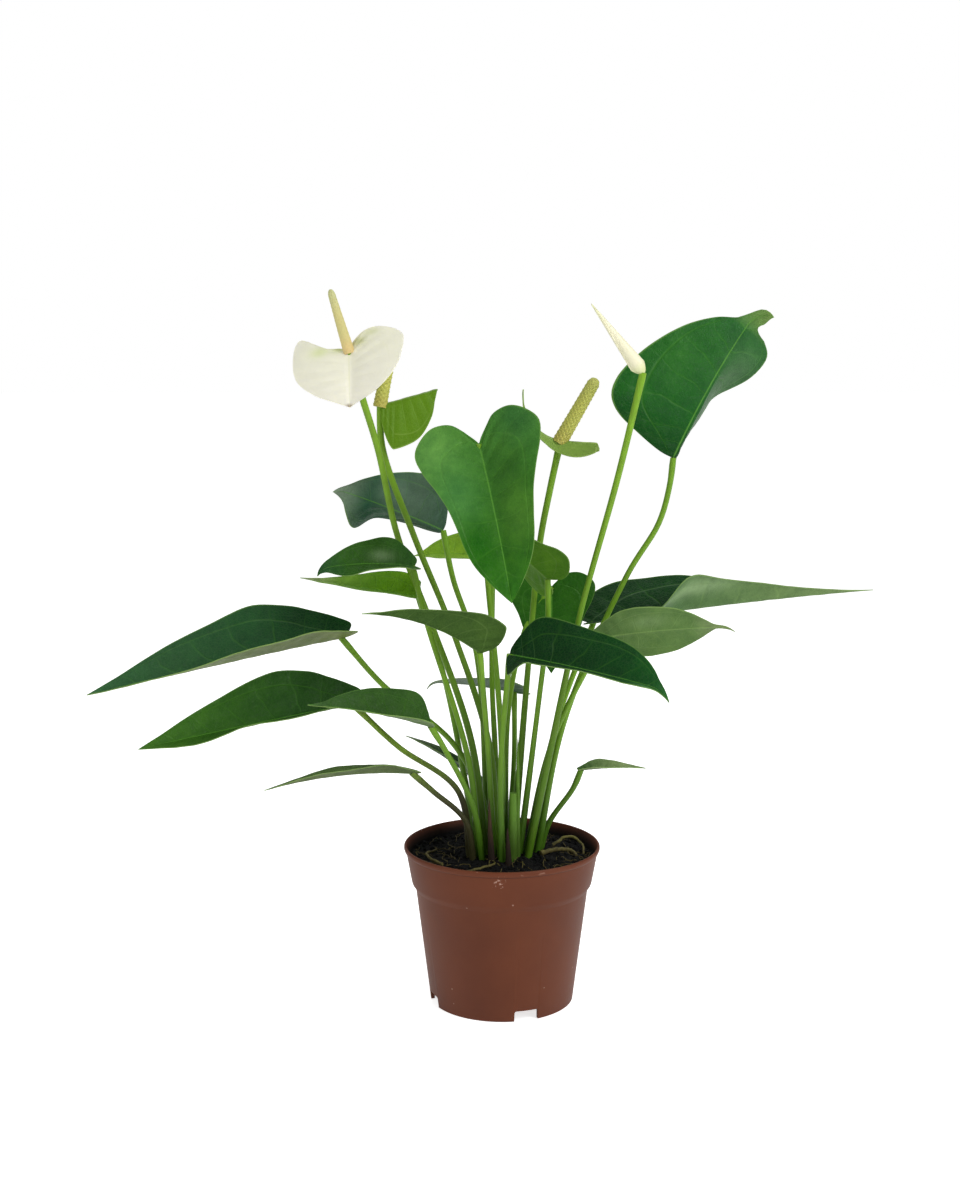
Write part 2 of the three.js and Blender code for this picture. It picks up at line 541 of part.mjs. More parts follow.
for (const shoot of SHOOTS) {
  const rod = rodGeometry(shoot.path, (share) => mix(shoot.foot, shoot.top, share), 6, 7);
  const material = shoot.name.startsWith("sheath") ? MATERIAL.sheath : MATERIAL.petiole;
  addMesh(shoot.name, geometryOf(solidOf(rod).subtract(soilCutter)), material);
}
for (const root of ROOTS) {
  const rod = rodGeometry(root.path, (share) => mix(root.radius, root.radius * 0.6, share), 8, 6);
  addMesh(root.name, geometryOf(solidOf(rod).subtract(soilCutter)), MATERIAL.root);
}

export default plant;
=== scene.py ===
# Potted anthurium: a young white-flowering plant in a round plastic nursery pot.
# Metres, +Z up, +Y away from the plant's front. The pot's axis is at the origin, its foot on the floor.

import math
import random

import bpy
from mathutils import Matrix, Vector, noise


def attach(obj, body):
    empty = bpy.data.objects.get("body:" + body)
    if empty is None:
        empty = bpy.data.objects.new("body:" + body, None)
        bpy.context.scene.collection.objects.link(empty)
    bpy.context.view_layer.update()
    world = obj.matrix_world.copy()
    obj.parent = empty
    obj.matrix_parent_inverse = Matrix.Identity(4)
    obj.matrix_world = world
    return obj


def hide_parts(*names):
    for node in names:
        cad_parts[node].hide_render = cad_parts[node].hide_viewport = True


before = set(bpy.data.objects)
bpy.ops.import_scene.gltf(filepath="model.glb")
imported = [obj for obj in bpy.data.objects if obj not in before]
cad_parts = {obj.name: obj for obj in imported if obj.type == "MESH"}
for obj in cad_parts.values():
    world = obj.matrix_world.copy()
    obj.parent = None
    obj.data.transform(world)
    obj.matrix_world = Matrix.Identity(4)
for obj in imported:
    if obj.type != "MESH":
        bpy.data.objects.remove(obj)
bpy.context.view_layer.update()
bpy.ops.object.select_all(action="DESELECT")
random.seed(12)
noise.seed_set(12)
MM = 0.001

# ---------------------------------------------------------------- camera, floor and light
# The plant stands on a plain white table, seen from the front and a little above, in soft studio light.
bpy.ops.object.camera_add(
    location=(-0.0134, -0.992, 0.390), rotation=(math.radians(90 - 8.15), 0, 0)
)
camera = bpy.context.object
camera.data.lens = 50
camera.data.sensor_width = 36
bpy.context.scene.camera = camera
bpy.context.scene.view_settings.view_transform = "Standard"


def linear(hex_code):
    """An sRGB hex colour as the linear red, green, blue and alpha that a shader takes."""
    parts = [int(hex_code[i : i + 2], 16) / 255 for i in (1, 3, 5)]
    return (*[p / 12.92 if p <= 0.04045 else ((p + 0.055) / 1.055) ** 2.4 for p in parts], 1.0)


def node(tree, kind, inputs=None, **settings):
    """Adds a shader node. Inputs are values, or the sockets that feed them."""
    made = tree.nodes.new("ShaderNode" + kind)
    for name, value in settings.items():
        setattr(made, name, value)
    for key, value in (inputs or {}).items():
        if isinstance(value, bpy.types.NodeSocket):
            tree.links.new(value, made.inputs[key])
        else:
            made.inputs[key].default_value = value
    return made


def new_material(name):
    """An empty material and its node tree."""
    material = bpy.data.materials.new(name)
    material.use_nodes = True
    material.node_tree.nodes.clear()
    return material, material.node_tree


def area_light(place, target, size, power):
    """A square soft box at a place, facing a target."""
    turn = (Vector(target) - Vector(place)).to_track_quat("-Z", "Y").to_euler()
    bpy.ops.object.light_add(type="AREA", location=place, rotation=turn)
    lamp = bpy.context.object
    lamp.data.size = size
    lamp.data.energy = power


# White laminate: smooth and matte, so that it shows only soft shadows.
white_laminate, tree = new_material("white_laminate")
ray = node(tree, "LightPath")
# To the camera it is as bright as the backdrop, and it lights the plant from below only a little.
glow = node(tree, "MapRange", {"Value": ray.outputs["Is Camera Ray"], "To Min": 0.4, "To Max": 0.74})
surface = node(
    tree, "BsdfPrincipled",
    {
        "Base Color": linear("#f4f4f4"), "Roughness": 0.85, "Specular IOR Level": 0.1,
        "Emission Color": (1, 1, 1, 1), "Emission Strength": glow.outputs[0],
    },
)
node(tree, "OutputMaterial", {"Surface": surface.outputs[0]})
# It lies 0.3 mm below the foot, so that no two faces coincide.
bpy.ops.mesh.primitive_plane_add(size=40, location=(0, 0, -0.3 * MM))
table_top = bpy.context.object
table_top.name = "table_top"
table_top.data.materials.append(white_laminate)

# The main light is at the right, with a weak one at the left and one behind for the leaves' edges.
area_light((1.25, -1.0, 1.3), (0, 0, 0.2), 1.1, 23)
area_light((-1.3, -1.0, 1.0), (0, 0, 0.22), 1.1, 7)
area_light((0.1, 0.9, 1.6), (0, 0, 0.2), 1.4, 9)

world = bpy.data.worlds.new("studio")
bpy.context.scene.world = world
world.use_nodes = True
sky = world.node_tree.nodes["Background"]
sky.inputs["Color"].default_value = (1, 1, 1, 1)
ray = node(world.node_tree, "LightPath")
seen = node(
    world.node_tree, "MapRange", {"Value": ray.outputs["Is Camera Ray"], "To Min": 0.3, "To Max": 1.0}
)
world.node_tree.links.new(seen.outputs[0], sky.inputs["Strength"])

# ---------------------------------------------------------------- pot
# A thin-walled nursery pot, injection moulded in terracotta-coloured polypropylene. The wall is a plain
# cone up to a step, where the rim band stands out to stiffen the mouth and to stop pots jamming when
# they are stacked. Four notches in the foot let water out.
POT_SIDES = 192
FOOT_RADIUS = 44 * MM
FOOT_WALL = 2.2 * MM
UNDERSIDE = 5 * MM
OUTSIDE = [(44, 0), (52.8, 70), (53.3, 71.2), (55.0, 73.6), (55.4, 75), (58.1, 90), (58.7, 93.2)]
LIP = [(59.6, 94), (60, 95), (60, 96.3), (59.6, 97), (58.7, 97)]
INSIDE = [(57.4, 93), (56.9, 90), (54.2, 75), (52.1, 71), (51.6, 70), (43.6, 6.2)]
NOTCH_WIDTH = 15 * MM
NOTCH_HEIGHT = 6.5 * MM
NOTCH_CORNER = 1.2 * MM
NOTCH_CUTTER_REACH = 20 * MM
FIRST_NOTCH = -71  # degrees round from +X
MOULDED_EDGE = 0.35 * MM


def into_edit(piece):
    """Edit mode on one piece, with all of it selected."""
    bpy.ops.object.select_all(action="DESELECT")
    piece.select_set(True)
    bpy.context.view_layer.objects.active = piece
    bpy.ops.object.mode_set(mode="EDIT")
    bpy.ops.mesh.select_all(action="SELECT")


def outside_out(piece):
    """Merges doubles, turns the faces out and leaves edit mode."""
    into_edit(piece)
    bpy.ops.mesh.remove_doubles(threshold=1e-6)
    bpy.ops.mesh.normals_make_consistent(inside=False)
    bpy.ops.object.mode_set(mode="OBJECT")


def apply_modifier(piece, kind, **settings):
    """Adds a modifier to a piece and applies it."""
    modifier = piece.modifiers.new(kind.lower(), kind)
    for name, value in settings.items():
        setattr(modifier, name, value)
    bpy.ops.object.select_all(action="DESELECT")
    piece.select_set(True)
    bpy.context.view_layer.objects.active = piece
    bpy.ops.object.modifier_apply(modifier=modifier.name)


def settle(piece, name, cad_node, slot, *materials):
    """Names a finished piece, gives it its materials, attaches it to the body that it moves with, and hides
    the CAD part that it stands for. The slot is not used.
    """
    piece.name = name
    piece.data.name = name
    for material in materials:
        piece.data.materials.append(material)
    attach(piece, "root")
    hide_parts(cad_node)


bpy.ops.mesh.primitive_circle_add(
    vertices=POT_SIDES, radius=FOOT_RADIUS - FOOT_WALL, fill_type="NGON", location=(0, 0, UNDERSIDE)
)
pot = bpy.context.object
bpy.ops.object.transform_apply(location=True, rotation=True, scale=True)
into_edit(pot)
reached = (FOOT_RADIUS - FOOT_WALL, UNDERSIDE)
inner_foot = ((FOOT_RADIUS - FOOT_WALL) / MM, 0)
for radius, height in [inner_foot, *OUTSIDE, *LIP, *INSIDE]:
    bpy.ops.mesh.extrude_region_move(
        TRANSFORM_OT_translate={"value": (0, 0, height * MM - reached[1])}
    )
    grow = radius * MM / reached[0]
    bpy.ops.transform.resize(value=(grow, grow, 1))
    reached = (radius * MM, height * MM)
bpy.ops.object.mode_set(mode="OBJECT")
outside_out(pot)

bpy.ops.mesh.primitive_cube_add(size=1)
notch = bpy.context.object
notch.scale = (NOTCH_CUTTER_REACH, NOTCH_WIDTH, 2 * NOTCH_HEIGHT)
bpy.ops.object.transform_apply(scale=True)
apply_modifier(notch, "BEVEL", width=NOTCH_CORNER, segments=4, limit_method="NONE")
cutters = [notch]
for _ in range(3):
    copy = notch.copy()
    copy.data = notch.data.copy()
    bpy.context.collection.objects.link(copy)
    cutters.append(copy)
for number, cutter in enumerate(cutters):
    turn = Matrix.Rotation(math.radians(FIRST_NOTCH + 90 * number), 4, "Z")
    cutter.data.transform(turn @ Matrix.Translation((FOOT_RADIUS - 2 * MM, 0, 0)))
bpy.ops.object.select_all(action="DESELECT")
for cutter in cutters:
    cutter.select_set(True)
bpy.context.view_layer.objects.active = notch
bpy.ops.object.join()
apply_modifier(pot, "BOOLEAN", object=notch, operation="DIFFERENCE", solver="EXACT")
bpy.data.objects.remove(notch)
apply_modifier(
    pot, "BEVEL", width=MOULDED_EDGE, segments=2, limit_method="ANGLE", angle_limit=math.radians(40)
)
bpy.ops.object.shade_smooth_by_angle(angle=math.radians(32))

# Moulded polypropylene with a fine matte grain: an even red-brown, a broad soft sheen, faint pale scuffs
# where the rim has rubbed, and an inner wall painted nearly black.
polypropylene, tree = new_material("terracotta_polypropylene")
place = node(tree, "TexCoord").outputs["Object"]
cloud = node(tree, "TexNoise", {"Vector": place, "Scale": 22.0, "Detail": 4.0})
tone = node(tree, "MapRange", {"Value": cloud.outputs[0], "From Min": 0.3, "From Max": 0.7})
brown = node(
    tree, "Mix", {0: tone.outputs[0], 6: linear("#5a2d1a"), 7: linear("#66351f")}, data_type="RGBA"
)
# Scuffs less than a centimetre long, stretched round the rim.
stretched = node(tree, "Mapping", {"Vector": place, "Scale": (110.0, 110.0, 260.0)})
scratch = node(tree, "TexNoise", {"Vector": stretched.outputs[0], "Scale": 1.0, "Detail": 3.0})
scuffed = node(tree, "MapRange", {"Value": scratch.outputs[0], "From Min": 0.66, "From Max": 0.72})
height = node(tree, "SeparateXYZ", {0: place})
at_rim = node(
    tree, "MapRange", {"Value": height.outputs["Z"], "From Min": 0.088, "From Max": 0.097}
)
scuff = node(tree, "Math", {0: scuffed.outputs[0], 1: at_rim.outputs[0]}, operation="MULTIPLY")
faint = node(tree, "Math", {0: scuff.outputs[0], 1: 0.25}, operation="MULTIPLY")
# A crust of dried fertiliser salts, about eight millimetres across, on the front of the collar.
from_crust = node(
    tree, "VectorMath", {0: place, 1: (-0.0025, -0.063, 0.0895)}, operation="DISTANCE"
)
near_crust = node(
    tree, "MapRange",
    {
        "Value": from_crust.outputs["Value"], "From Min": 0.001, "From Max": 0.009,
        "To Min": 0.46, "To Max": 0.0,
    },
)
flakes = node(tree, "TexNoise", {"Vector": place, "Scale": 520.0, "Detail": 4.0, "Roughness": 0.7})
flaky = node(tree, "Math", {0: flakes.outputs[0], 1: near_crust.outputs[0]}, operation="ADD")
crust = node(
    tree, "MapRange", {"Value": flaky.outputs[0], "From Min": 0.76, "From Max": 0.86, "To Max": 0.75}
)
pale = node(tree, "Math", {0: faint.outputs[0], 1: crust.outputs[0]}, operation="MAXIMUM")
worn = node(
    tree, "Mix", {0: pale.outputs[0], 6: brown.outputs[2], 7: linear("#c9a392")}, data_type="RGBA"
)
# Loose dust and splashes: a few pale specks about a millimetre across.
speck = node(tree, "TexVoronoi", {"Vector": place, "Scale": 70.0, "Randomness": 1.0})
tiny = node(
    tree, "MapRange",
    {"Value": speck.outputs["Distance"], "From Min": 0.03, "From Max": 0.05, "To Min": 0.45, "To Max": 0.0},
)
dusty = node(
    tree, "Mix", {0: tiny.outputs[0], 6: worn.outputs[2], 7: linear("#c4a08f")}, data_type="RGBA"
)
# Darker inside: the inner wall, which faces the pot's axis, is painted nearly black.
facing = node(tree, "TexCoord").outputs["Normal"]
outwards = node(tree, "VectorMath", {0: facing, 1: place}, operation="DOT_PRODUCT")
inside = node(
    tree, "MapRange",
    {"Value": outwards.outputs["Value"], "From Min": -0.04, "From Max": -0.01, "To Min": 1.0, "To Max": 0.0},
)
ragged = node(tree, "MapRange", {"Value": cloud.outputs[0], "To Min": 0.9, "To Max": 1.1})
darkened_inside = node(tree, "Math", {0: inside.outputs[0], 1: ragged.outputs[0]}, operation="MULTIPLY")
with_dark_inside = node(
    tree, "Mix", {0: darkened_inside.outputs[0], 6: dusty.outputs[2], 7: linear("#0d0b09")}, data_type="RGBA"
)
grain = node(tree, "TexNoise", {"Vector": place, "Scale": 1400.0, "Detail": 2.0})
relief = node(tree, "Bump", {"Height": grain.outputs[0], "Strength": 0.12, "Distance": 0.0004})
rough = node(
    tree, "MapRange", {"Value": cloud.outputs[0], "To Min": 0.46, "To Max": 0.58}
)
surface = node(
    tree, "BsdfPrincipled",
    {
        "Base Color": with_dark_inside.outputs[2], "Roughness": rough.outputs[0], "Normal": relief.outputs[0],
        "Specular IOR Level": 0.18, "IOR": 1.49,
    },
)
node(tree, "OutputMaterial", {"Surface": surface.outputs[0]})
settle(pot, "nursery_pot", "pot", "pot", polypropylene)

# ---------------------------------------------------------------- soil
# Dark peat potting mix, filled to just under the rim and a little heaped round the crown. It is loose:
# crumbs lie on top, and dead root fibres run through it.
SOIL_RADIUS = 56.4 * MM
SOIL_TOP = 89 * MM
MOUND = 3 * MM
MOUND_RADIUS = 34 * MM


def soil_height(x, y):
    """Height of the rough soil surface at a place."""
    heap = MOUND * max(0.0, 1 - (x * x + y * y) / MOUND_RADIUS**2)
    lumps = 1.5 * MM * noise.fractal(Vector((x * 90, y * 90, 0)), 0.8, 2.1, 5)
    clods = 1.0 * MM * noise.noise(Vector((x * 420, y * 420, 3)))
    return SOIL_TOP + heap + lumps + clods


SOIL_GRID = 150
# The way down inside the wall: how far, how much narrower, and whether the edge keeps its height (1) or
# is flattened (0).
SOIL_SIDES = [(-17 * MM, 0.93, 1), (-64 * MM, 0.83, 0)]
bpy.ops.mesh.primitive_grid_add(x_subdivisions=SOIL_GRID, y_subdivisions=SOIL_GRID, size=2)
soil = bpy.context.object
for vertex in soil.data.vertices:
    u, v = vertex.co.x, vertex.co.y
    x = SOIL_RADIUS * u * math.sqrt(1 - v * v / 2)
    y = SOIL_RADIUS * v * math.sqrt(1 - u * u / 2)
    vertex.co = (x, y, soil_height(x, y))
into_edit(soil)
bpy.ops.mesh.select_all(action="DESELECT")
bpy.ops.mesh.select_non_manifold()
for drop, grow, upright in SOIL_SIDES:
    bpy.ops.mesh.extrude_edges_move(TRANSFORM_OT_translate={"value": (0, 0, drop)})
    bpy.ops.transform.resize(value=(grow, grow, upright))
bpy.ops.mesh.edge_face_add()
bpy.ops.object.mode_set(mode="OBJECT")
outside_out(soil)
bpy.ops.object.shade_smooth_by_angle(angle=math.radians(50))

# Peat: nearly black where moist, dark brown where the crumbs have dried.
peat, tree = new_material("moist_peat")
place = node(tree, "TexCoord").outputs["Object"]
damp = node(tree, "TexNoise", {"Vector": place, "Scale": 160.0, "Detail": 6.0, "Roughness": 0.7})
dry = node(tree, "MapRange", {"Value": damp.outputs[0], "From Min": 0.45, "From Max": 0.72})
dark = node(
    tree, "Mix", {0: dry.outputs[0], 6: linear("#060708"), 7: linear("#181614")}, data_type="RGBA"
)
crumbly = node(tree, "TexNoise", {"Vector": place, "Scale": 900.0, "Detail": 5.0, "Roughness": 0.75})
relief = node(tree, "Bump", {"Height": crumbly.outputs[0], "Strength": 0.9, "Distance": 0.0012})
surface = node(
    tree, "BsdfPrincipled",
    {
        "Base Color": dark.outputs[2], "Roughness": 0.93, "Specular IOR Level": 0.2,
        "Normal": relief.outputs[0],
    },
)
node(tree, "OutputMaterial", {"Surface": surface.outputs[0]})
settle(soil, "soil_body", "soil", "soil", peat)

# One crumb, copied many times over the surface.
bpy.ops.mesh.primitive_ico_sphere_add(subdivisions=1, radius=1)
crumb = bpy.context.object
bpy.ops.object.mode_set(mode="EDIT")
bpy.ops.mesh.subdivide(number_cuts=1, smoothness=0.4, fractal=0.9, seed=4)
bpy.ops.object.mode_set(mode="OBJECT")
CRUMBS = 1500
CRUMB_SIZES = [0.5, 0.6, 0.8, 1.1, 1.6]
corners, faces = [], []
for number in range(CRUMBS):
    away = SOIL_RADIUS * math.sqrt(random.random()) * 0.985
    angle = random.uniform(0, 2 * math.pi)
    x, y = away * math.cos(angle), away * math.sin(angle)
    size = random.choice(CRUMB_SIZES) * random.uniform(0.7, 1.2) * MM
    shape = Matrix.Diagonal((size, size * random.uniform(0.6, 1), size * random.uniform(0.4, 0.8), 1))
    turn = Matrix.Rotation(random.uniform(0, 6.28), 4, "Z")
    turn = turn @ Matrix.Rotation(random.uniform(-1, 1), 4, "X")
    spot = Matrix.Translation((x, y, soil_height(x, y) + size * 0.25)) @ turn @ shape
    first = len(corners)
    corners += [spot @ vertex.co for vertex in crumb.data.vertices]
    faces += [[first + i for i in face.vertices] for face in crumb.data.polygons]
bpy.data.objects.remove(crumb)
crumbs_mesh = bpy.data.meshes.new("soil_crumbs")
crumbs_mesh.from_pydata(corners, [], faces)
crumbs = bpy.data.objects.new("soil_crumbs", crumbs_mesh)
bpy.context.collection.objects.link(crumbs)
settle(crumbs, "soil_crumbs", "soil", "soil", peat)


# ---------------------------------------------------------------- stems and other rods
def even_steps(fine, count):
    """A count of points at even distances along a fine line, and the line's length."""
    reach = [0.0]
    for a, b in zip(fine, fine[1:]):
        reach.append(reach[-1] + (b - a).length)
    even = []
    spot = 0
    for number in range(count):
        wanted = reach[-1] * number / (count - 1)
        while spot < len(reach) - 2 and reach[spot + 1] < wanted:
            spot += 1
        part = (wanted - reach[spot]) / (reach[spot + 1] - reach[spot])
        even.append(fine[spot].lerp(fine[spot + 1], min(1, max(0, part))))
    return even, reach[-1]


def smooth_path(points, count):
    """A smooth curve through points in millimetres: a count of even points in metres, and its length."""
    knots = [Vector(point) * MM for point in points]
    knots = [knots[0] * 2 - knots[1], *knots, knots[-1] * 2 - knots[-2]]
    fine = []
    for p0, p1, p2, p3 in zip(knots, knots[1:], knots[2:], knots[3:]):
        d0, d1, d2 = [max((b - a).length, 1e-9) ** 0.5 for a, b in ((p0, p1), (p1, p2), (p2, p3))]
        t1 = ((p1 - p0) / d0 - (p2 - p0) / (d0 + d1) + (p2 - p1) / d1) * d1
        t2 = ((p2 - p1) / d1 - (p3 - p1) / (d1 + d2) + (p3 - p2) / d2) * d1
        for step in range(24):
            t = step / 24
            cubic = 2 * p1 - 2 * p2 + t1 + t2
            square = -3 * p1 + 3 * p2 - 2 * t1 - t2
            fine.append(p1 + t1 * t + square * t * t + cubic * t**3)
    fine.append(knots[-2])
    return even_steps(fine, count)


def rod(path, radii, roundness=3):
    """A solid rod along a path, with a radius at each of its points, as a mesh."""
    bpy.ops.curve.primitive_bezier_curve_add()
    made = bpy.context.object
    line = made.data
    line.splines.clear()
    spline = line.splines.new("POLY")
    spline.points.add(len(path) - 1)
    for point, place, radius in zip(spline.points, path, radii):
        point.co = (*place, 1)
        point.radius = radius
    line.dimensions = "3D"
    line.bevel_depth = 1
    line.bevel_resolution = roundness
    line.use_fill_caps = True
    made.matrix_world = Matrix.Identity(4)
    bpy.ops.object.convert(target="MESH")
    outside_out(made)
    bpy.ops.object.shade_smooth_by_angle(angle=math.radians(60))
    return made


def plant_skin(name, low, high, mark, roughness, low_height, high_height, streak=0.35):
    """Smooth waxy skin of a stem: two greens by height, fine lengthwise streaks, and faint marks."""
    material, tree = new_material(name)
    place = node(tree, "TexCoord").outputs["Object"]
    height = node(tree, "SeparateXYZ", {0: place})
    rise = node(
        tree, "MapRange",
        {"Value": height.outputs["Z"], "From Min": low_height, "From Max": high_height},
        interpolation_type="SMOOTHSTEP",
    )
    green = node(
        tree, "Mix", {0: rise.outputs[0], 6: linear(low), 7: linear(high)}, data_type="RGBA"
    )
    # Streaks about half a millimetre wide and two centimetres long.
    stretch = node(tree, "Mapping", {"Vector": place, "Scale": (1.0, 1.0, 0.04)})
    streaks = node(tree, "TexNoise", {"Vector": stretch.outputs[0], "Scale": 1500.0, "Detail": 3.0})
    patches = node(tree, "TexNoise", {"Vector": place, "Scale": 90.0, "Detail": 3.0})
    both = node(
        tree, "Mix", {0: 0.5, 2: streaks.outputs[0], 3: patches.outputs[0]}, data_type="FLOAT"
    )
    marked = node(
        tree, "MapRange",
        {"Value": both.outputs[0], "From Min": 0.42, "From Max": 0.66, "To Max": streak},
    )
    colour = node(
        tree, "Mix", {0: marked.outputs[0], 6: green.outputs[2], 7: linear(mark)}, data_type="RGBA"
    )
    relief = node(tree, "Bump", {"Height": streaks.outputs[0], "Strength": 0.25, "Distance": 0.0003})
    surface = node(
        tree, "BsdfPrincipled",
        {
            "Base Color": colour.outputs[2], "Roughness": roughness, "Specular IOR Level": 0.25,
            "Normal": relief.outputs[0], "Subsurface Weight": 0.08,
            "Subsurface Radius": (0.001, 0.0016, 0.0004),
        },
    )
    node(tree, "OutputMaterial", {"Surface": surface.outputs[0]})
    return material


# Petiole skin: smooth and waxy, olive at the crown and brighter green higher up.
petiole_skin = plant_skin("petiole_skin", "#3f6415", "#6f9a24", "#4f7a1a", 0.42, 0.09, 0.19)
# The oldest leaves' stalks have browned near the crown.
aged_petiole_skin = plant_skin(
    "aged_petiole_skin", "#3a3a1e", "#76982a", "#2f2a18", 0.5, 0.125, 0.165, streak=0.6
)
# Peduncle skin: the same, a little yellower and lighter towards the flower.
peduncle_skin = plant_skin("peduncle_skin", "#4c7316", "#7ba828", "#5f7a22", 0.42, 0.10, 0.36, streak=0.5)

# ---------------------------------------------------------------- leaf blades
# A few leaves' patches are painted light: painted sheen, highlight or shade, as the comment at each such leaf
# says.
# Leathery heart-shaped blades, about half a millimetre thick, each grown as one piece from its petiole.
# The midrib is sunk above and stands out below, and the side veins pull the blade into soft quilting.
# Sizes are in millimetres and angles in degrees. at: where the petiole joins. heading and pitch: where
# the midrib points there. roll: the turn about the midrib, right side down. fold: rows of (share of the
# length, left, right), how far each half rises. cup: how far it curls on by its margin. droop and sweep:
# how far the midrib bends down and to its right. curl and hook: extra bend of the last sixth. lobe: how
# far the lobes reach back, as a share of the outline's. wave, quilt and groove: the height of the
# margin's waves, of the quilting and of the sunk midrib. crown and via: where the petiole leaves the
# soil, and points that it passes. aged: its stalk has browned. upper and under: the colours of the two
# sides at equal steps along the midrib. Each patch on them is (share of the length, share of the half
# width with left negative, spread, colour).
# An outline is half a blade, from the notch where the petiole joins, round the lobe, to the tip. Its
# points are (along the midrib, out from it), as shares of the length and of the half width. Where a
# blade has two different halves, left and right name an outline each.
HEART = [
    (0, 0), (-0.06, 0.12), (-0.15, 0.33), (-0.17, 0.6), (-0.12, 0.84), (-0.02, 1),
    (0.14, 0.94), (0.32, 0.76), (0.52, 0.62), (0.7, 0.44), (0.85, 0.21), (0.94, 0.07), (1, 0),
]
FULL_HEART = [
    (0, 0), (-0.06, 0.12), (-0.15, 0.33), (-0.17, 0.6), (-0.12, 0.84), (-0.02, 1), (0.1, 0.95),
    (0.23, 0.81), (0.36, 0.69), (0.5, 0.61), (0.63, 0.55), (0.75, 0.45), (0.87, 0.26), (0.95, 0.1), (1, 0),
]
OVATE = [
    (0, 0), (0, 0.2), (0.03, 0.5), (0.07, 0.8), (0.13, 0.97), (0.22, 1), (0.34, 0.93),
    (0.46, 0.82), (0.62, 0.61), (0.76, 0.38), (0.87, 0.15), (0.94, 0.06), (1, 0),
]
BROAD = [
    (0, 0), (0, 0.2), (0.03, 0.5), (0.07, 0.8), (0.13, 0.97), (0.24, 1), (0.4, 0.97),
    (0.56, 0.88), (0.7, 0.73), (0.81, 0.5), (0.88, 0.22), (0.94, 0.09), (1, 0),
]
LANCE = [
    (0, 0), (-0.04, 0.1), (-0.06, 0.26), (-0.01, 0.44), (0.07, 0.66), (0.16, 0.89), (0.28, 1),
    (0.4, 0.92), (0.55, 0.75), (0.72, 0.48), (0.88, 0.2), (0.96, 0.07), (1, 0),
]
TAPER = [
    (0, 0), (-0.04, 0.15), (-0.04, 0.4), (0.03, 0.75), (0.14, 0.97), (0.25, 1),
    (0.37, 0.87), (0.52, 0.58), (0.72, 0.28), (0.87, 0.11), (0.95, 0.04), (1, 0),
]
SLIM_HEART = [
    (0, 0), (-0.06, 0.12), (-0.15, 0.33), (-0.17, 0.6), (-0.12, 0.84), (-0.02, 1),
    (0.14, 0.94), (0.32, 0.7), (0.52, 0.46), (0.7, 0.26), (0.85, 0.1), (0.94, 0.04), (1, 0),
]
TAILED = [
    (0, 0), (-0.04, 0.1), (-0.06, 0.26), (-0.01, 0.44), (0.07, 0.66), (0.16, 0.89), (0.28, 1),
    (0.4, 0.94), (0.55, 0.78), (0.68, 0.52), (0.78, 0.24), (0.84, 0.08), (0.92, 0.05), (1, 0),
]
HOOKED = [
    (0, 0), (0, 0.2), (0.03, 0.5), (0.07, 0.8), (0.13, 0.97), (0.22, 1), (0.34, 0.93),
    (0.46, 0.82), (0.62, 0.61), (0.75, 0.37), (0.83, 0.15), (0.88, 0.08), (0.94, 0.07), (1, 0),
]
HOOKED_RIGHT = [
    (0, 0), (0, 0.2), (0.05, 0.5), (0.12, 0.8), (0.25, 0.95), (0.36, 0.72), (0.53, 0.56),
    (0.68, 0.48), (0.78, 0.42), (0.83, 0.28), (0.87, 0.12), (0.94, 0.1), (1, 0),
]
FLAG = [
    (0, 0), (0.02, 0.08), (0.08, 0.16), (0.2, 0.22), (0.35, 0.28), (0.5, 0.4), (0.6, 0.54),
    (0.67, 0.63), (0.73, 0.6), (0.8, 0.42), (0.86, 0.22), (0.92, 0.1), (1, 0),
]
SPREAD = [
    (0, 0), (-0.14, 0.1), (-0.32, 0.3), (-0.42, 0.58), (-0.36, 0.86), (-0.18, 1),
    (0, 0.88), (0.26, 0.5), (0.5, 0.3), (0.75, 0.13), (0.9, 0.06), (1, 0),
]
LOW_WING = [
    (0, 0), (-0.05, 0.15), (-0.08, 0.35), (-0.13, 0.55), (-0.27, 0.76), (-0.28, 0.9), (-0.12, 1),
    (0.22, 1), (0.5, 0.88), (0.76, 0.58), (0.91, 0.24), (0.97, 0.08), (1, 0),
]
WINGED = [
    (0, 0), (-0.14, 0.08), (-0.3, 0.28), (-0.36, 0.55), (-0.26, 0.84), (-0.05, 1),
    (0.22, 0.98), (0.5, 0.85), (0.76, 0.54), (0.9, 0.22), (0.96, 0.08), (1, 0),
]

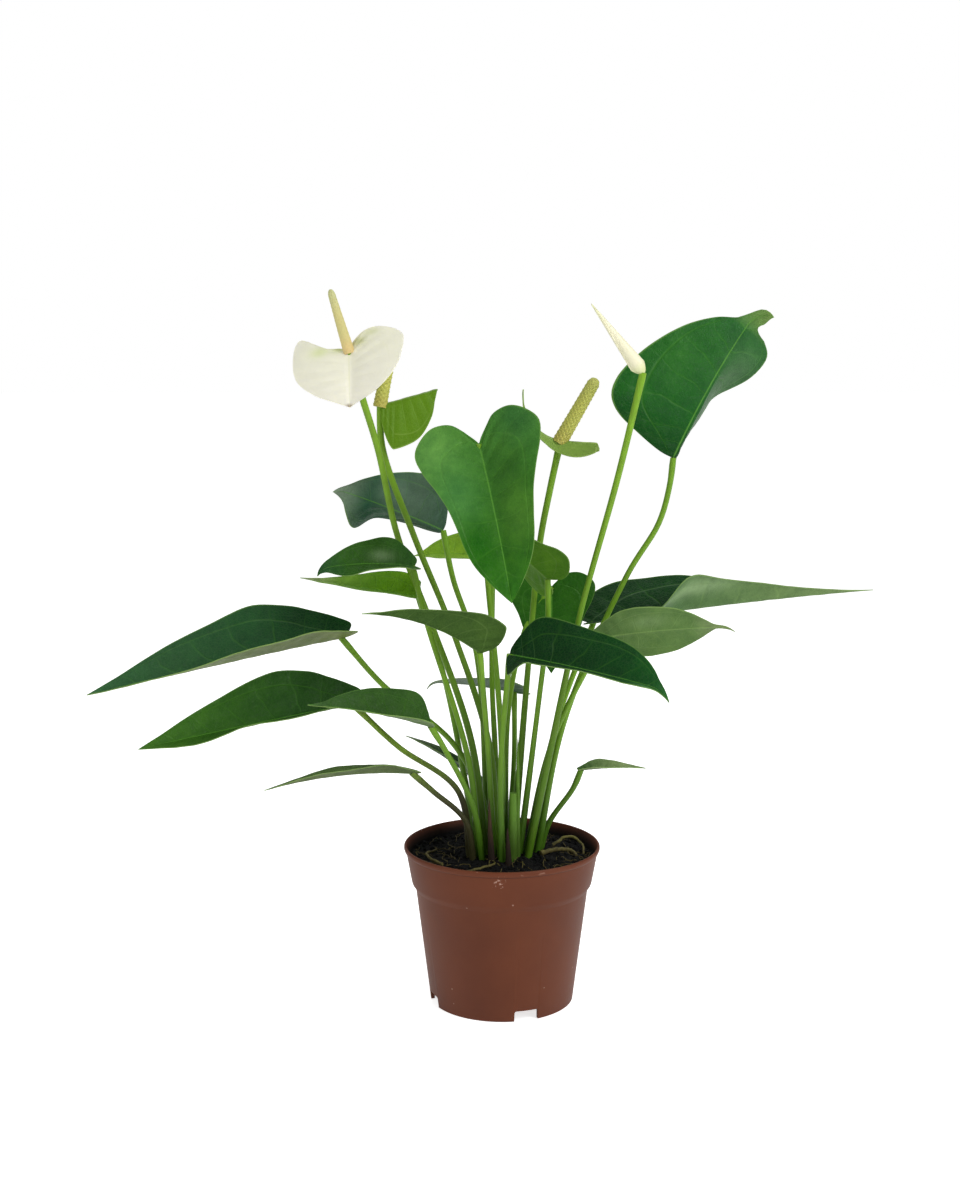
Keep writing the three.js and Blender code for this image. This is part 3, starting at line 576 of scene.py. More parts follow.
LEAVES = {
    "leaf_01": dict(
        at=(-14, -28, 343), heading=-66, pitch=-58, roll=26, length=96, width=76, quilt=0.8,
        outline=FULL_HEART, fold=[(0, 26, 8)], cup=-20, droop=22, sweep=4,
        crown=(-1, -12), via=[(0, -8, 150), (-3, -6, 200), (-9, -10, 262)],
        upper=["#41782a", "#2f681a", "#286010", "#2f6c14"], under=["#6f9a4a"],
        # The first patch, lighter, and the third, darker, are painted light and painted shade on the two
        # lobes, which bend towards and away from the light.
        upper_patches=[
            (0.0, 0.75, 0.26, "#5a9040"), (0.3, 0.5, 0.2, "#46803a"), (-0.08, -0.7, 0.22, "#33662c"),
            (0.25, -0.35, 0.2, "#2c5c1a"), (0.65, 0.35, 0.15, "#1f600a"), (0.5, -0.4, 0.2, "#3f7020"),
        ],
    ),
    "leaf_02": dict(
        at=(102, 5, 333), heading=26, pitch=62, roll=70, length=118, width=104,
        left=HOOKED, right=HOOKED_RIGHT, fold=[(0, 5, -80), (0.45, 5, -72), (0.8, 5, -10)], cup=-10,
        droop=18, sweep=14, wave=2, curl=-90, hook=80,
        crown=(21, 3), via=[(38, 4, 173), (75, 4, 262), (94, 5, 294), (100, 5, 316)],
        upper=["#083a10", "#0f5014", "#125218", "#17561a", "#205a24", "#86a85a"], under=["#7d9f58"],
        # The first two patches, grey-green on the right half, are a painted sheen: the glare of the light on
        # the cuticle.
        upper_patches=[
            (0.35, 0.55, 0.2, "#486a45"), (0.6, 0.3, 0.16, "#446842"), (0.12, 0.4, 0.12, "#274f2c"),
            (0.5, -0.55, 0.25, "#24601f"),
        ],
    ),
    "leaf_03": dict(
        at=(57, 28, 230), heading=12, pitch=6.7, roll=-8, length=186, width=62,
        outline=TAPER, fold=[(0, 50, 0), (0.15, 50, 5), (0.37, 50, 52), (1, 50, 50)], cup=0, droop=4,
        crown=(15, 7), via=[(34, 14, 170)],
        upper=["#08300f", "#0f3f18", "#2f6a2c"], under=["#3c6b34", "#4f6f40", "#5f7a48", "#6f8656"],
        under_patches=[(0.35, 0.6, 0.12, "#7f9a6c")],
    ),
    "leaf_04": dict(
        at=(60, -12, 227.5), heading=-8, pitch=10, roll=-55, length=80, width=42,
        outline=TAILED, fold=[(0, 5, 5)], cup=-10, droop=12, curl=40,
        crown=(14, 0), via=[(30, -2, 160)],
        upper=["#2f6a28"], under=["#55733c", "#5a7a3e", "#5c7c42", "#8f9c70"],
        under_patches=[(0.35, 0.35, 0.14, "#6f8c55")],
    ),
    "leaf_05": dict(
        at=(4, -29, 220), heading=-21, pitch=-6, roll=24, length=101, width=54,
        outline=BROAD, fold=[(0, 34, -10), (0.2, 34, 34), (1, 34, 34)], cup=0, droop=8, curl=60,
        crown=(0, -18), via=[(-1, -20, 150)],
        upper=["#0a3212", "#0c3614", "#0f4018", "#1c5a20"], under=["#4f6f3c"],
        # The pale patch near the tip is a painted highlight.
        upper_patches=[(0.85, 0.3, 0.09, "#4f8350")],
    ),
    "leaf_06": dict(
        at=(-13.5, -32, 221.5), heading=-167, pitch=37, roll=25, length=78, width=48,
        outline=SLIM_HEART, lobe=0.4, fold=[(0, 40, 70)], cup=0, droop=36,
        crown=(-5, -9), via=[(-8, -14, 150)],
        upper=["#3a5a20"], under=["#3c5a20", "#385420", "#3c5a24"],
    ),
    "leaf_07": dict(
        at=(-97, -5, 226), heading=-158, pitch=-8, roll=-14, length=153, width=64,
        outline=LANCE, fold=[(0, 41, 41), (1, 25, 45)], cup=0, droop=2,
        crown=(-12, 5), via=[(-11, 6, 120), (-30, 4, 159), (-72, -1, 196)],
        upper=["#0b3814", "#1f4a26", "#2c5430", "#33603a"], under=["#6f7e44", "#667c42"],
        upper_patches=[(0.45, -0.5, 0.2, "#2a5234")],
    ),
    "leaf_08": dict(
        at=(-89, -25, 189.5), heading=-160, pitch=-7, roll=-24, length=127, width=59, aged=True,
        outline=LANCE, fold=[(0, 38, 34), (0.5, 38, 34), (0.9, 10, 50)], cup=0, droop=2,
        crown=(-19, -5), via=[(-27, -13, 134), (-62, -19, 162)],
        upper=["#1f4215", "#27501a", "#33601a", "#3c6a1f"], under=["#55723a"],
    ),
    "leaf_09": dict(
        at=(-42.5, -36, 178.5), heading=-154, pitch=21, roll=-24, length=77, width=40,
        outline=OVATE, fold=[(0, 34, 34)], cup=0, droop=15,
        crown=(-11, -13), via=[(-18, -21, 127), (-34, -31, 163)],
        upper=["#33581f", "#30541d", "#3f6030"], under=["#55703c"],
    ),
    "leaf_10": dict(
        at=(-54, -30, 149), heading=-154, pitch=9, roll=5, length=92, width=16, aged=True,
        outline=LANCE, fold=[(0, 40, 40)], cup=0, droop=18,
        crown=(-17, -12), via=[(-22, -18, 116), (-41, -25, 136)],
        upper=["#445c2a", "#4f6638"], under=["#556440", "#5f6c48"],
    ),
    "leaf_11": dict(
        at=(-36, 25, 287.5), heading=-167, pitch=25, roll=-65, length=74, width=64,
        left=FLAG, right=OVATE, fold=[(0, -86, 5), (0.55, -82, 5), (0.85, -5, 5)], cup=-10,
        droop=16, curl=60,
        crown=(-8, 11), via=[(-16, 19, 214), (-30, 23, 258)],
        # The grey-green of its upper side and the grey patch on it are a painted reflection of the light in
        # its cuticle.
        upper=["#3c5848", "#48604c", "#24523a", "#8a9a84"], under=["#3c5c3c", "#2a5230", "#8a9a84"],
        upper_patches=[(0.45, 0.3, 0.2, "#5a7260")],
    ),
    "leaf_12": dict(
        at=(-53.5, -12, 270), heading=-154, pitch=10, roll=-20, length=61, width=37,
        outline=LANCE, fold=[(0, 15, 45), (0.5, 15, 45), (0.9, -40, 45)], cup=0, droop=20,
        wave=2, curl=60, crown=(-14, -8), via=[(-20, -10, 150), (-45, -12, 236)],
        upper=["#3a6a2a", "#264e0e", "#285212", "#20482a"], under=["#55723a"],
        upper_patches=[(0.3, 0.3, 0.12, "#5f7c50")],
    ),
    "leaf_13": dict(
        at=(-5.3, 48, 270), heading=176, pitch=3, roll=-25, length=50, width=42,
        outline=HEART, fold=[(0, 20, 45)], cup=0, droop=10,
        crown=(-3, 10), via=[(-4, 14, 150), (-6, 18, 195)],
        upper=["#86b032"], under=["#8ab22c", "#9abb3c"],
    ),
    "leaf_14": dict(
        at=(-51, 12, 248.5), heading=173, pitch=8, roll=-25, length=74, width=30,
        outline=TAPER, lobe=0, fold=[(0, 30, 35)], cup=0, droop=0,
        crown=(-14, 10), via=[(-36, 16, 200)],
        upper=["#6a9c18", "#659c1a", "#7aa63c", "#a0a880"], under=["#6fa022"],
    ),
    "leaf_15": dict(
        at=(26.7, -14, 262.5), heading=165, pitch=42, roll=50, length=46, width=48,
        outline=HEART, fold=[(0, 10, 10)], cup=0, droop=10,
        crown=(10, -4), via=[(22, -4, 186), (27, -10, 236)],
        upper=["#44741a"], under=["#4f7f1c"],
    ),
    "leaf_16": dict(
        at=(31, 30, 252), heading=-92, pitch=-80, roll=0, length=54, width=54,
        outline=HEART, fold=[(0, 5, 5)], cup=-15, droop=5,
        crown=(2, 9), via=[(5, 17, 184), (18, 29, 234)],
        upper=["#2a6014", "#285c12"], under=["#3a6620"],
    ),
    "leaf_17": dict(
        at=(49, 10, 141), heading=12, pitch=4, roll=10, length=42, width=12,
        outline=LANCE, fold=[(0, 30, 30)], cup=0, droop=12,
        crown=(23, 9), via=[(29, 9, 107), (44, 10, 129)],
        upper=["#3f6030", "#7a8f5a", "#86996a"], under=["#6f8258"],
    ),
    "leaf_18": dict(
        at=(8.3, 44, 182.8), heading=172, pitch=12, roll=20, length=58, width=40,
        outline=HEART, fold=[(0, 10, 10)], cup=0, droop=15, curl=60,
        crown=(4, 17), via=[(8, 28, 145)],
        upper=["#2c5030"], under=["#4a6450", "#7a8a78"],
    ),
    "leaf_19": dict(
        at=(-12, 27, 126), heading=170, pitch=42, roll=0, length=58, width=18,
        outline=LANCE, fold=[(0, 30, 30)], cup=0, droop=20,
        crown=(-3, 16), via=[(-8, 21, 108)],
        upper=["#1c421c", "#2c4f2a", "#7f8f70"], under=["#2c4a2c", "#2c4a2c", "#7f8f70"],
    ),
}


MARGIN_STEPS = 200


def margin_of(blade, side):
    """One half's outline at even steps, from the notch round its lobe to the tip."""
    shape = blade[side] if side in blade else blade["outline"]
    last = len(shape) - 1
    fine = []
    for i in range(last):
        p0, p1 = shape[max(i - 1, 0)], shape[i]
        p2, p3 = shape[i + 1], shape[min(i + 2, last)]
        for step in range(20):
            t = step / 20
            point = []
            for a, b, c, d in zip(p0, p1, p2, p3):
                v0, v1 = (c - a) / 2, (d - b) / 2
                cubic = 2 * b - 2 * c + v0 + v1
                square = 3 * c - 3 * b - 2 * v0 - v1
                point.append(cubic * t**3 + square * t * t + v0 * t + b)
            fine.append(Vector(point))
    fine.append(Vector(shape[-1]))
    margin, _ = even_steps(fine, MARGIN_STEPS + 1)
    for point in margin:
        if point.x < 0:
            point.x *= blade.get("lobe", 1)
    return margin


FRAMES_AHEAD, FRAMES_BEHIND = 100, 50
CURL_START = 0.83  # the share of the length where curl and hook begin
LOBE_REACH, LOBE_RISE = 0.2, 10  # how far the lobes reach back, and the degrees they rise in that


def midrib_frames(blade):
    """The place and directions of the midrib, from behind the notch to the tip, at even steps."""
    heading, pitch = math.radians(blade["heading"]), math.radians(blade["pitch"])
    level_x, level_y = math.cos(heading), math.sin(heading)
    ahead = Vector((level_x * math.cos(pitch), level_y * math.cos(pitch), math.sin(pitch)))
    up = Vector((-level_x * math.sin(pitch), -level_y * math.sin(pitch), math.cos(pitch)))
    up.rotate(Matrix.Rotation(math.radians(blade["roll"]), 3, ahead))
    start = (Vector(blade["at"]), ahead, up, ahead.cross(up))
    length = blade["length"]
    frames = {0: start}
    for sign, count in ((1, FRAMES_AHEAD), (-1, FRAMES_BEHIND)):
        at, ahead, up, right = [v.copy() for v in start]
        for number in range(count):
            share = sign * (number + 0.5) / FRAMES_AHEAD
            down, aside = blade["droop"], blade.get("sweep", 0)
            if share > CURL_START:
                down += blade.get("curl", 0) / (1 - CURL_START)
                aside += blade.get("hook", 0) / (1 - CURL_START)
            if share < 0:
                down = -LOBE_RISE / LOBE_REACH
            at = at + ahead * (sign * length / FRAMES_AHEAD)
            for axis, angle in ((right.copy(), -down), (up.copy(), -aside)):
                turn = Matrix.Rotation(math.radians(angle * sign / FRAMES_AHEAD), 3, axis)
                for direction in (ahead, up, right):
                    direction.rotate(turn)
            frames[sign * (number + 1)] = (at.copy(), ahead.copy(), up.copy(), right.copy())
    return frames


def fold_at(blade, share):
    """How far the left and right halves rise at a share of the length, eased between the rows."""
    rows = blade["fold"]
    later = [row for row in rows if row[0] > share]
    earlier = [row for row in rows if row[0] <= share]
    if not earlier:
        return rows[0][1:]
    if not later:
        return rows[-1][1:]
    before, after = earlier[-1], later[0]
    t = (share - before[0]) / (after[0] - before[0])
    ease = t * t * (3 - 2 * t)
    return [before[i] + (after[i] - before[i]) * ease for i in (1, 2)]


def arc(bend, angle, distance):
    """Sideways reach, lift and new angle after a distance along an arc."""
    end = angle + bend * distance
    if abs(bend) < 1e-6:
        return distance * math.cos(angle), distance * math.sin(angle), end
    return (math.sin(end) - math.sin(angle)) / bend, (math.cos(angle) - math.cos(end)) / bend, end


SIDE_VEINS = 9
CREASE = 2.5  # how far out from the midrib a half has finished folding
WAVE_REACH = 9
GROOVE_WIDTH = 1.1


def blade_point(blade, frames, along, across, row, out):
    """A flat point of the blade carried to its place, with the quilting and the sunk midrib."""
    place = along / blade["length"] * FRAMES_AHEAD
    place = max(0.01 - FRAMES_BEHIND, min(FRAMES_AHEAD - 0.01, place))
    low = math.floor(place)
    part = place - low
    at, ahead, up, right = [a.lerp(b, part) for a, b in zip(frames[low], frames[low + 1])]
    half = blade["width"] / 2
    side = 0 if across < 0 else 1
    distance = abs(across)
    rise = math.radians(fold_at(blade, along / blade["length"])[side])
    cup = math.radians(blade["cup"]) / half
    crease = min(CREASE, half / 4)
    first = min(distance, crease)
    x, z, angle = arc(rise / crease + cup, 0, first)
    more_x, more_z, angle = arc(cup, angle, distance - first)
    x, z = x + more_x, z + more_z
    z += blade.get("wave", 1) * math.sin(along / WAVE_REACH + side * 2) * (distance / half) ** 2
    quilt = blade.get("quilt", 0.45)
    puff = quilt * math.sin(math.pi * SIDE_VEINS * row) ** 2 * min(1, 3 * out) * (1 - out**4)
    puff += 0.5 * quilt * noise.noise(Vector((along / 7, across / 7, blade["length"])))
    groove = blade.get("groove", 0.6) * math.exp(-((distance / GROOVE_WIDTH) ** 2))
    groove *= 1 - 0.6 * max(0, row)
    lift = puff - groove
    outward = right if side else -right
    return at + outward * (x - lift * math.sin(angle)) + up * (z + lift * math.cos(angle))


def tint(stops, share):
    """A colour between hex stops at equal distances, as linear values."""
    place = max(0, min(1, share)) * (len(stops) - 1)
    low = min(int(place), max(0, len(stops) - 2))
    a = Vector(linear(stops[low])[:3])
    b = Vector(linear(stops[min(low + 1, len(stops) - 1)])[:3])
    return a.lerp(b, place - low)


def painted(blade, side_name, along_share, across_share):
    """The colour of one side of a blade at a place: its stops along the midrib, and soft patches, a few of
    which are painted sheen, highlight and shade.
    """
    colour = tint(blade[side_name], along_share)
    for where, across, spread, patch in blade.get(side_name + "_patches", []):
        near = ((along_share - where) ** 2 + ((across_share - across) * 0.6) ** 2) / spread**2
        colour = colour.lerp(Vector(linear(patch)[:3]), math.exp(-near))
    return (*colour, 1.0)


FLAT_UNIT = 100  # millimetres to one unit of the flat layout that the veins are drawn in


def grow_blade(blade, thickness, skins, rows=90, columns=18):
    """A blade from a flat grid: shaped, painted, closed at the notch and the tip, and thickened."""
    margins = [margin_of(blade, "left"), margin_of(blade, "right")]
    frames = midrib_frames(blade)
    half = blade["width"] / 2
    bpy.ops.mesh.primitive_grid_add(x_subdivisions=2 * columns, y_subdivisions=rows, size=2)
    made = bpy.context.object
    mesh = made.data
    upper = mesh.color_attributes.new("upper_tint", "FLOAT_COLOR", "POINT")
    under = mesh.color_attributes.new("under_tint", "FLOAT_COLOR", "POINT")
    flat = []
    for vertex in mesh.vertices:
        row = (vertex.co.y + 1) / 2
        out = abs(vertex.co.x)
        low = min(MARGIN_STEPS - 1, int(row * MARGIN_STEPS))
        margin = margins[0 if vertex.co.x < 0 else 1]
        edge = margin[low].lerp(margin[low + 1], row * MARGIN_STEPS - low)
        # Rows crowd together at the notch, where the outline turns most.
        spine = row**1.7
        along = blade["length"] * (spine + (edge.x - spine) * out)
        across = half * edge.y * vertex.co.x
        # The first row closes at the notch, and the last one at the tip.
        if row < 1e-5 or row > 1 - 1e-5:
            along, across = blade["length"] * edge.x, 0
        vertex.co = blade_point(blade, frames, along, across, row, out) * MM
        flat.append((across / FLAT_UNIT, along / FLAT_UNIT))
        share = along / blade["length"]
        upper.data[vertex.index].color = painted(blade, "upper", share, across / half)
        under.data[vertex.index].color = painted(blade, "under", share, across / half)
    flat_layer = mesh.uv_layers.new(name="flat")
    for loop in mesh.loops:
        flat_layer.data[loop.index].uv = flat[loop.vertex_index]
    into_edit(made)
    bpy.ops.mesh.remove_doubles(threshold=1e-6)
    bpy.ops.object.mode_set(mode="OBJECT")
    # The skins are in their slots first: the lower side and the rim take the second one.
    for skin in skins:
        mesh.materials.append(skin)
    apply_modifier(
        made, "SOLIDIFY", thickness=thickness, offset=0, use_even_offset=False,
        material_offset=1, material_offset_rim=1,
    )
    bpy.ops.object.shade_smooth_by_angle(angle=math.radians(50))
    return made


def blade_skin(name, side_name, vein, vein_show, rib_show, margin, roughness, relief_depth, uneven=1.0):
    """One side of a blade: its painted colour, with midrib, side veins, net of small veins and margin."""
    material, tree = new_material(name)
    painted_colour = node(tree, "Attribute", attribute_name=side_name)
    grid = node(tree, "SeparateXYZ", {0: node(tree, "UVMap", uv_map="UVMap").outputs[0]})
    flat = node(tree, "UVMap", uv_map="flat").outputs[0]
    offset = node(tree, "SeparateXYZ", {0: flat})
    centred = node(tree, "Math", {0: grid.outputs[0], 1: 0.5}, operation="SUBTRACT")
    doubled = node(tree, "Math", {0: centred.outputs[0], 1: 2.0}, operation="MULTIPLY")
    out = node(tree, "Math", {0: doubled.outputs[0]}, operation="ABSOLUTE").outputs[0]
    row = grid.outputs[1]
    # Midrib: two millimetres wide at the notch, and under one at the tip.
    beside = node(tree, "Math", {0: offset.outputs[0]}, operation="ABSOLUTE")
    width = node(tree, "MapRange", {"Value": row, "To Min": 0.010, "To Max": 0.0035})
    midrib = node(
        tree, "MapRange",
        {
            "Value": beside.outputs[0], "From Min": 0.002, "From Max": width.outputs[0],
            "To Min": rib_show, "To Max": 0.0,
        },
    ).outputs[0]
    # Side veins, which leave the midrib and bend towards the tip.
    wobble = node(tree, "TexNoise", {"Vector": flat, "Scale": 5.0, "Detail": 2.0})
    shift = node(tree, "MapRange", {"Value": wobble.outputs[0], "To Min": -0.3, "To Max": 0.3})
    veins_done = node(
        tree, "Math", {0: row, 1: float(SIDE_VEINS), 2: shift.outputs[0]}, operation="MULTIPLY_ADD"
    )
    between = node(tree, "Math", {0: veins_done.outputs[0], 1: 0.5}, operation="PINGPONG")
    side_vein = node(
        tree, "MapRange",
        {"Value": between.outputs[0], "From Min": 0.0, "From Max": 0.05, "To Min": 1.0, "To Max": 0.0},
    )
    fading = node(tree, "MapRange", {"Value": out, "From Min": 0.35, "To Min": 0.75, "To Max": 0.15})
    side_veins = node(
        tree, "Math", {0: side_vein.outputs[0], 1: fading.outputs[0]}, operation="MULTIPLY"
    ).outputs[0]
    # The strong basal vein of each half, which arches out and then runs along inside the margin.
    arch = node(
        tree, "MapRange", {"Value": row, "From Max": 0.75, "To Min": 0.3, "To Max": 0.86},
        interpolation_type="SMOOTHSTEP",
    )
    from_arch = node(tree, "Math", {0: out, 1: arch.outputs[0]}, operation="SUBTRACT")
    off_arch = node(tree, "Math", {0: from_arch.outputs[0]}, operation="ABSOLUTE")
    basal_vein = node(
        tree, "MapRange", {"Value": off_arch.outputs[0], "From Max": 0.028, "To Min": 0.8, "To Max": 0.0}
    )
    lines = node(tree, "Math", {0: side_veins, 1: basal_vein.outputs[0]}, operation="MAXIMUM")
    # The net of small veins, in cells of about a millimetre and a half.
    net = node(tree, "TexVoronoi", {"Vector": flat, "Scale": 62.0}, feature="DISTANCE_TO_EDGE")
    net_line = node(
        tree, "MapRange", {"Value": net.outputs["Distance"], "From Max": 0.12, "To Min": 0.3, "To Max": 0.0}
    )
    veins = node(tree, "Math", {0: lines.outputs[0], 1: net_line.outputs[0]}, operation="MAXIMUM")
    shown = node(tree, "Math", {0: veins.outputs[0], 1: vein_show}, operation="MULTIPLY")
    with_rib = node(tree, "Math", {0: shown.outputs[0], 1: midrib}, operation="MAXIMUM")
    # The blade's green is uneven: clouds one or two centimetres across, with finer mottling in them.
    clouds = node(tree, "TexNoise", {"Vector": flat, "Scale": 6.5, "Detail": 6.0, "Roughness": 0.7})
    value = node(
        tree, "MapRange",
        {
            "Value": clouds.outputs[0], "From Min": 0.3, "From Max": 0.7,
            "To Min": 1 - 0.24 * uneven, "To Max": 1 + 0.24 * uneven,
        },
    )
    hue = node(
        tree, "MapRange",
        {
            "Value": clouds.outputs[0], "From Min": 0.3, "From Max": 0.7,
            "To Min": 0.5 + 0.007 * uneven, "To Max": 0.5 - 0.007 * uneven,
        },
    )
    green = node(
        tree, "HueSaturation",
        {"Hue": hue.outputs[0], "Value": value.outputs[0], "Color": painted_colour.outputs["Color"]},
    )
    veined = node(
        tree, "Mix", {0: with_rib.outputs[0], 6: green.outputs[0], 7: linear(vein)}, data_type="RGBA"
    )
    at_margin = node(
        tree, "MapRange", {"Value": out, "From Min": 0.972, "From Max": 0.99, "To Max": 0.55}
    )
    edged = node(
        tree, "Mix", {0: at_margin.outputs[0], 6: veined.outputs[2], 7: linear(margin)}, data_type="RGBA"
    )
    # Relief: wrinkles between the side veins, and the net.
    wrinkle = node(tree, "TexNoise", {"Vector": flat, "Scale": 19.0, "Detail": 5.0, "Roughness": 0.55})
    height = node(
        tree, "Math", {0: veins.outputs[0], 1: -0.5, 2: wrinkle.outputs[0]}, operation="MULTIPLY_ADD"
    )
    relief = node(
        tree, "Bump", {"Height": height.outputs[0], "Strength": 0.55, "Distance": relief_depth}
    )
    gloss = node(
        tree, "MapRange",
        {
            "Value": wrinkle.outputs[0], "From Min": 0.3, "From Max": 0.7,
            "To Min": roughness - 0.06, "To Max": roughness + 0.08,
        },
    )
    surface = node(
        tree, "BsdfPrincipled",
        {
            "Base Color": edged.outputs[2], "Roughness": gloss.outputs[0], "Normal": relief.outputs[0],
            "Specular IOR Level": 0.11, "IOR": 1.45,
        },
    )
    node(tree, "OutputMaterial", {"Surface": surface.outputs[0]})
    return material


# Upper side: waxy cuticle over deep green, so it shines softly. Lower side: paler, matter, veins proud.
leaf_cuticle = blade_skin("leaf_cuticle", "upper_tint", "#5f9a3a", 0.22, 0.6, "#6f9a48", 0.38, 0.0016)
leaf_underside = blade_skin("leaf_underside", "under_tint", "#7f9f58", 0.25, 0.55, "#86a55c", 0.5, 0.0008)

LEAF_THICKNESS = 0.55 * MM
for name, leaf in LEAVES.items():
    blade = grow_blade(leaf, LEAF_THICKNESS, [leaf_cuticle, leaf_underside])
    settle(blade, name + "_blade_skin", name + "_blade", "leaf")

# ---------------------------------------------------------------- petioles
# Each leaf's stalk: slender and round, a little thicker where it leaves the crown, and swollen again in
# the knee just under the blade, where the leaf turns to the light.
PETIOLE = (2.3, 1.65, 1.75)
PETIOLE_KNEE = 0.25
KNEE_BELOW = 6  # the knee's middle, measured down from the blade
KNEE_REACH = 5
STEM_FOOT = 86  # the height at which stems start, inside the soil
STEM_STEPS = 60


def stem_radii(foot, middle, top, length, knee):
    """Radii along a stem in metres: thickest at the foot, slender halfway, with a swollen knee on top."""
    radii = []
    for number in range(STEM_STEPS):
        share = number / (STEM_STEPS - 1)
        if share < 0.5:
            radius = foot + (middle - foot) * share * 2
        else:
            radius = middle + (top - middle) * (share * 2 - 1)
        from_top = (1 - share) * length / MM
        radius += knee * math.exp(-(((from_top - KNEE_BELOW) / KNEE_REACH) ** 2))
        radii.append(radius * MM)
    return radii


for name, leaf in LEAVES.items():
    path, length = smooth_path([(*leaf["crown"], STEM_FOOT), *leaf["via"], leaf["at"]], STEM_STEPS)
    stalk = rod(path, stem_radii(*PETIOLE, length, PETIOLE_KNEE))
    skin = aged_petiole_skin if leaf.get("aged") else petiole_skin
    settle(stalk, name + "_stalk", name + "_petiole", "petiole", skin)

# ---------------------------------------------------------------- flowers
# An anthurium's flower is a spathe, a waxy coloured bract, and a spadix, a fleshy spike of tiny flowers
# packed in spirals. Both stand on a peduncle. The first is fresh and white; the other two have aged green.
# tip and thick: where the spike ends, and its radii at the foot and the tip. The rest is as for leaves.
FLOWERS = {
    "flower_01": dict(
        slot="white_spathe", crown=(-9, -4),
        via=[(-19, -2, 163), (-43, 1, 234), (-63, 2, 287), (-74, -2, 339), (-83, -5, 370)],
        at=(-90, -8, 396), heading=-85, pitch=-55, roll=0, length=36, width=70,
        left=WINGED, right=LOW_WING, fold=[(0, 38, -12)], cup=-20, droop=20, quilt=0.3, groove=0.4,
        upper=["#ecebd6", "#eeecd9", "#efecdc"], under=["#ecead4", "#f0eddc"],
        upper_patches=[
            (-0.05, 0.5, 0.10, "#dfe6b4"), (-0.05, 0.15, 0.07, "#c8d292"), (-0.12, -0.2, 0.09, "#c3c795"),
            (-0.26, -0.45, 0.08, "#d9dcb4"), (0.98, 0, 0.035, "#8d7a60"),
        ],
        tip=(-100.5, -8, 431.5), thick=(3.4, 2.0),
    ),
    "flower_02": dict(
        slot="green_spathe", crown=(-4, 4),
        via=[(-7, 6, 153), (-29, 8, 225), (-53, 9, 285), (-72, 10, 339)],
        at=(-73, 10, 364), heading=10, pitch=15, roll=18, length=36, width=58, lobe=0.15,
        outline=WINGED, fold=[(0, -58, -58)], cup=0, droop=0, quilt=0.3, groove=0.4,
        upper=["#5a8218", "#608a1b"], under=["#608a1e", "#6f962c"],
        tip=(-67, 13, 392), thick=(4.1, 3.3),
    ),
    "flower_03": dict(
        slot="green_spathe", crown=(7, 3),
        via=[(10, 2.5, 131), (16, 8, 206), (23, 12, 282), (28.5, 12, 312)],
        at=(35, 12, 343), heading=172, pitch=10, roll=-10, length=42, width=23, lobe=1.4,
        outline=SPREAD, fold=[(0, -38, -65)], cup=0, droop=-90, quilt=0.2, groove=0.3,
        upper=["#7f9f48", "#8aa85a"], under=["#86a052", "#8fae60"],
        tip=(56, 10, 380), thick=(4.5, 3.6),
    ),
}


def bract_skin(name, side_name, margin, vein_show, vein):
    """One side of a spathe: thick, waxy and nearly even, with faint veins that run with its length."""
    material = blade_skin(name, side_name, vein, vein_show, 0.4, margin, 0.36, 0.0003, uneven=0.15)
    surface = material.node_tree.nodes["Principled BSDF"]
    surface.inputs["Subsurface Weight"].default_value = 0.15
    surface.inputs["Subsurface Radius"].default_value = (0.002, 0.002, 0.001)
    return material


# The fresh spathe is white with faint greenish veins. The aged ones have turned green, with pale veins.
white_bract = bract_skin("white_bract", "upper_tint", "#f6f4e4", 0.1, "#dfe0b8")
white_bract_back = bract_skin("white_bract_back", "under_tint", "#f6f4e4", 0.15, "#dfe0b8")
green_bract = bract_skin("green_bract", "upper_tint", "#a9c56c", 0.3, "#a3c060")
green_bract_back = bract_skin("green_bract_back", "under_tint", "#a9c56c", 0.35, "#b0ca74")


def spike_skin(name, foot, middle, top, dots, show):
    """A spadix's skin: fleshy, coloured along its length, each tiny flower with a darker eye."""
    material, tree = new_material(name)
    grid = node(tree, "SeparateXYZ", {0: node(tree, "UVMap", uv_map="UVMap").outputs[0]})
    rise = grid.outputs[1]
    first = node(tree, "MapRange", {"Value": rise, "From Max": 0.35}, interpolation_type="SMOOTHSTEP")
    second = node(
        tree, "MapRange", {"Value": rise, "From Min": 0.55, "From Max": 1.0}, interpolation_type="SMOOTHSTEP"
    )
    low = node(tree, "Mix", {0: first.outputs[0], 6: linear(foot), 7: linear(middle)}, data_type="RGBA")
    body = node(tree, "Mix", {0: second.outputs[0], 6: low.outputs[2], 7: linear(top)}, data_type="RGBA")
    eye = node(tree, "Attribute", attribute_name="eye")
    spot = node(tree, "Math", {0: eye.outputs["Fac"], 1: show}, operation="MULTIPLY")
    dotted = node(tree, "Mix", {0: spot.outputs[0], 6: body.outputs[2], 7: linear(dots)}, data_type="RGBA")
    surface = node(
        tree, "BsdfPrincipled",
        {
            "Base Color": dotted.outputs[2], "Roughness": 0.5, "Specular IOR Level": 0.35,
            "Subsurface Weight": 0.12, "Subsurface Radius": (0.002, 0.0015, 0.0008),
        },
    )
    node(tree, "OutputMaterial", {"Surface": surface.outputs[0]})
    return material


# Cream spike, peach at its foot and greenish at its tip.
cream_spike = spike_skin("cream_spike", "#d9bf82", "#cdc482", "#c2c48a", "#a9a35a", 0.35)
# Ageing spikes: yellow-green, each tiny flower with a dark eye.
green_spike = spike_skin("green_spike", "#b5ad54", "#b9ba58", "#b4b85e", "#6f702c", 0.6)


SPIRALS = 8
BOSS_PITCH = 1.45  # millimetres from one tiny flower to the next


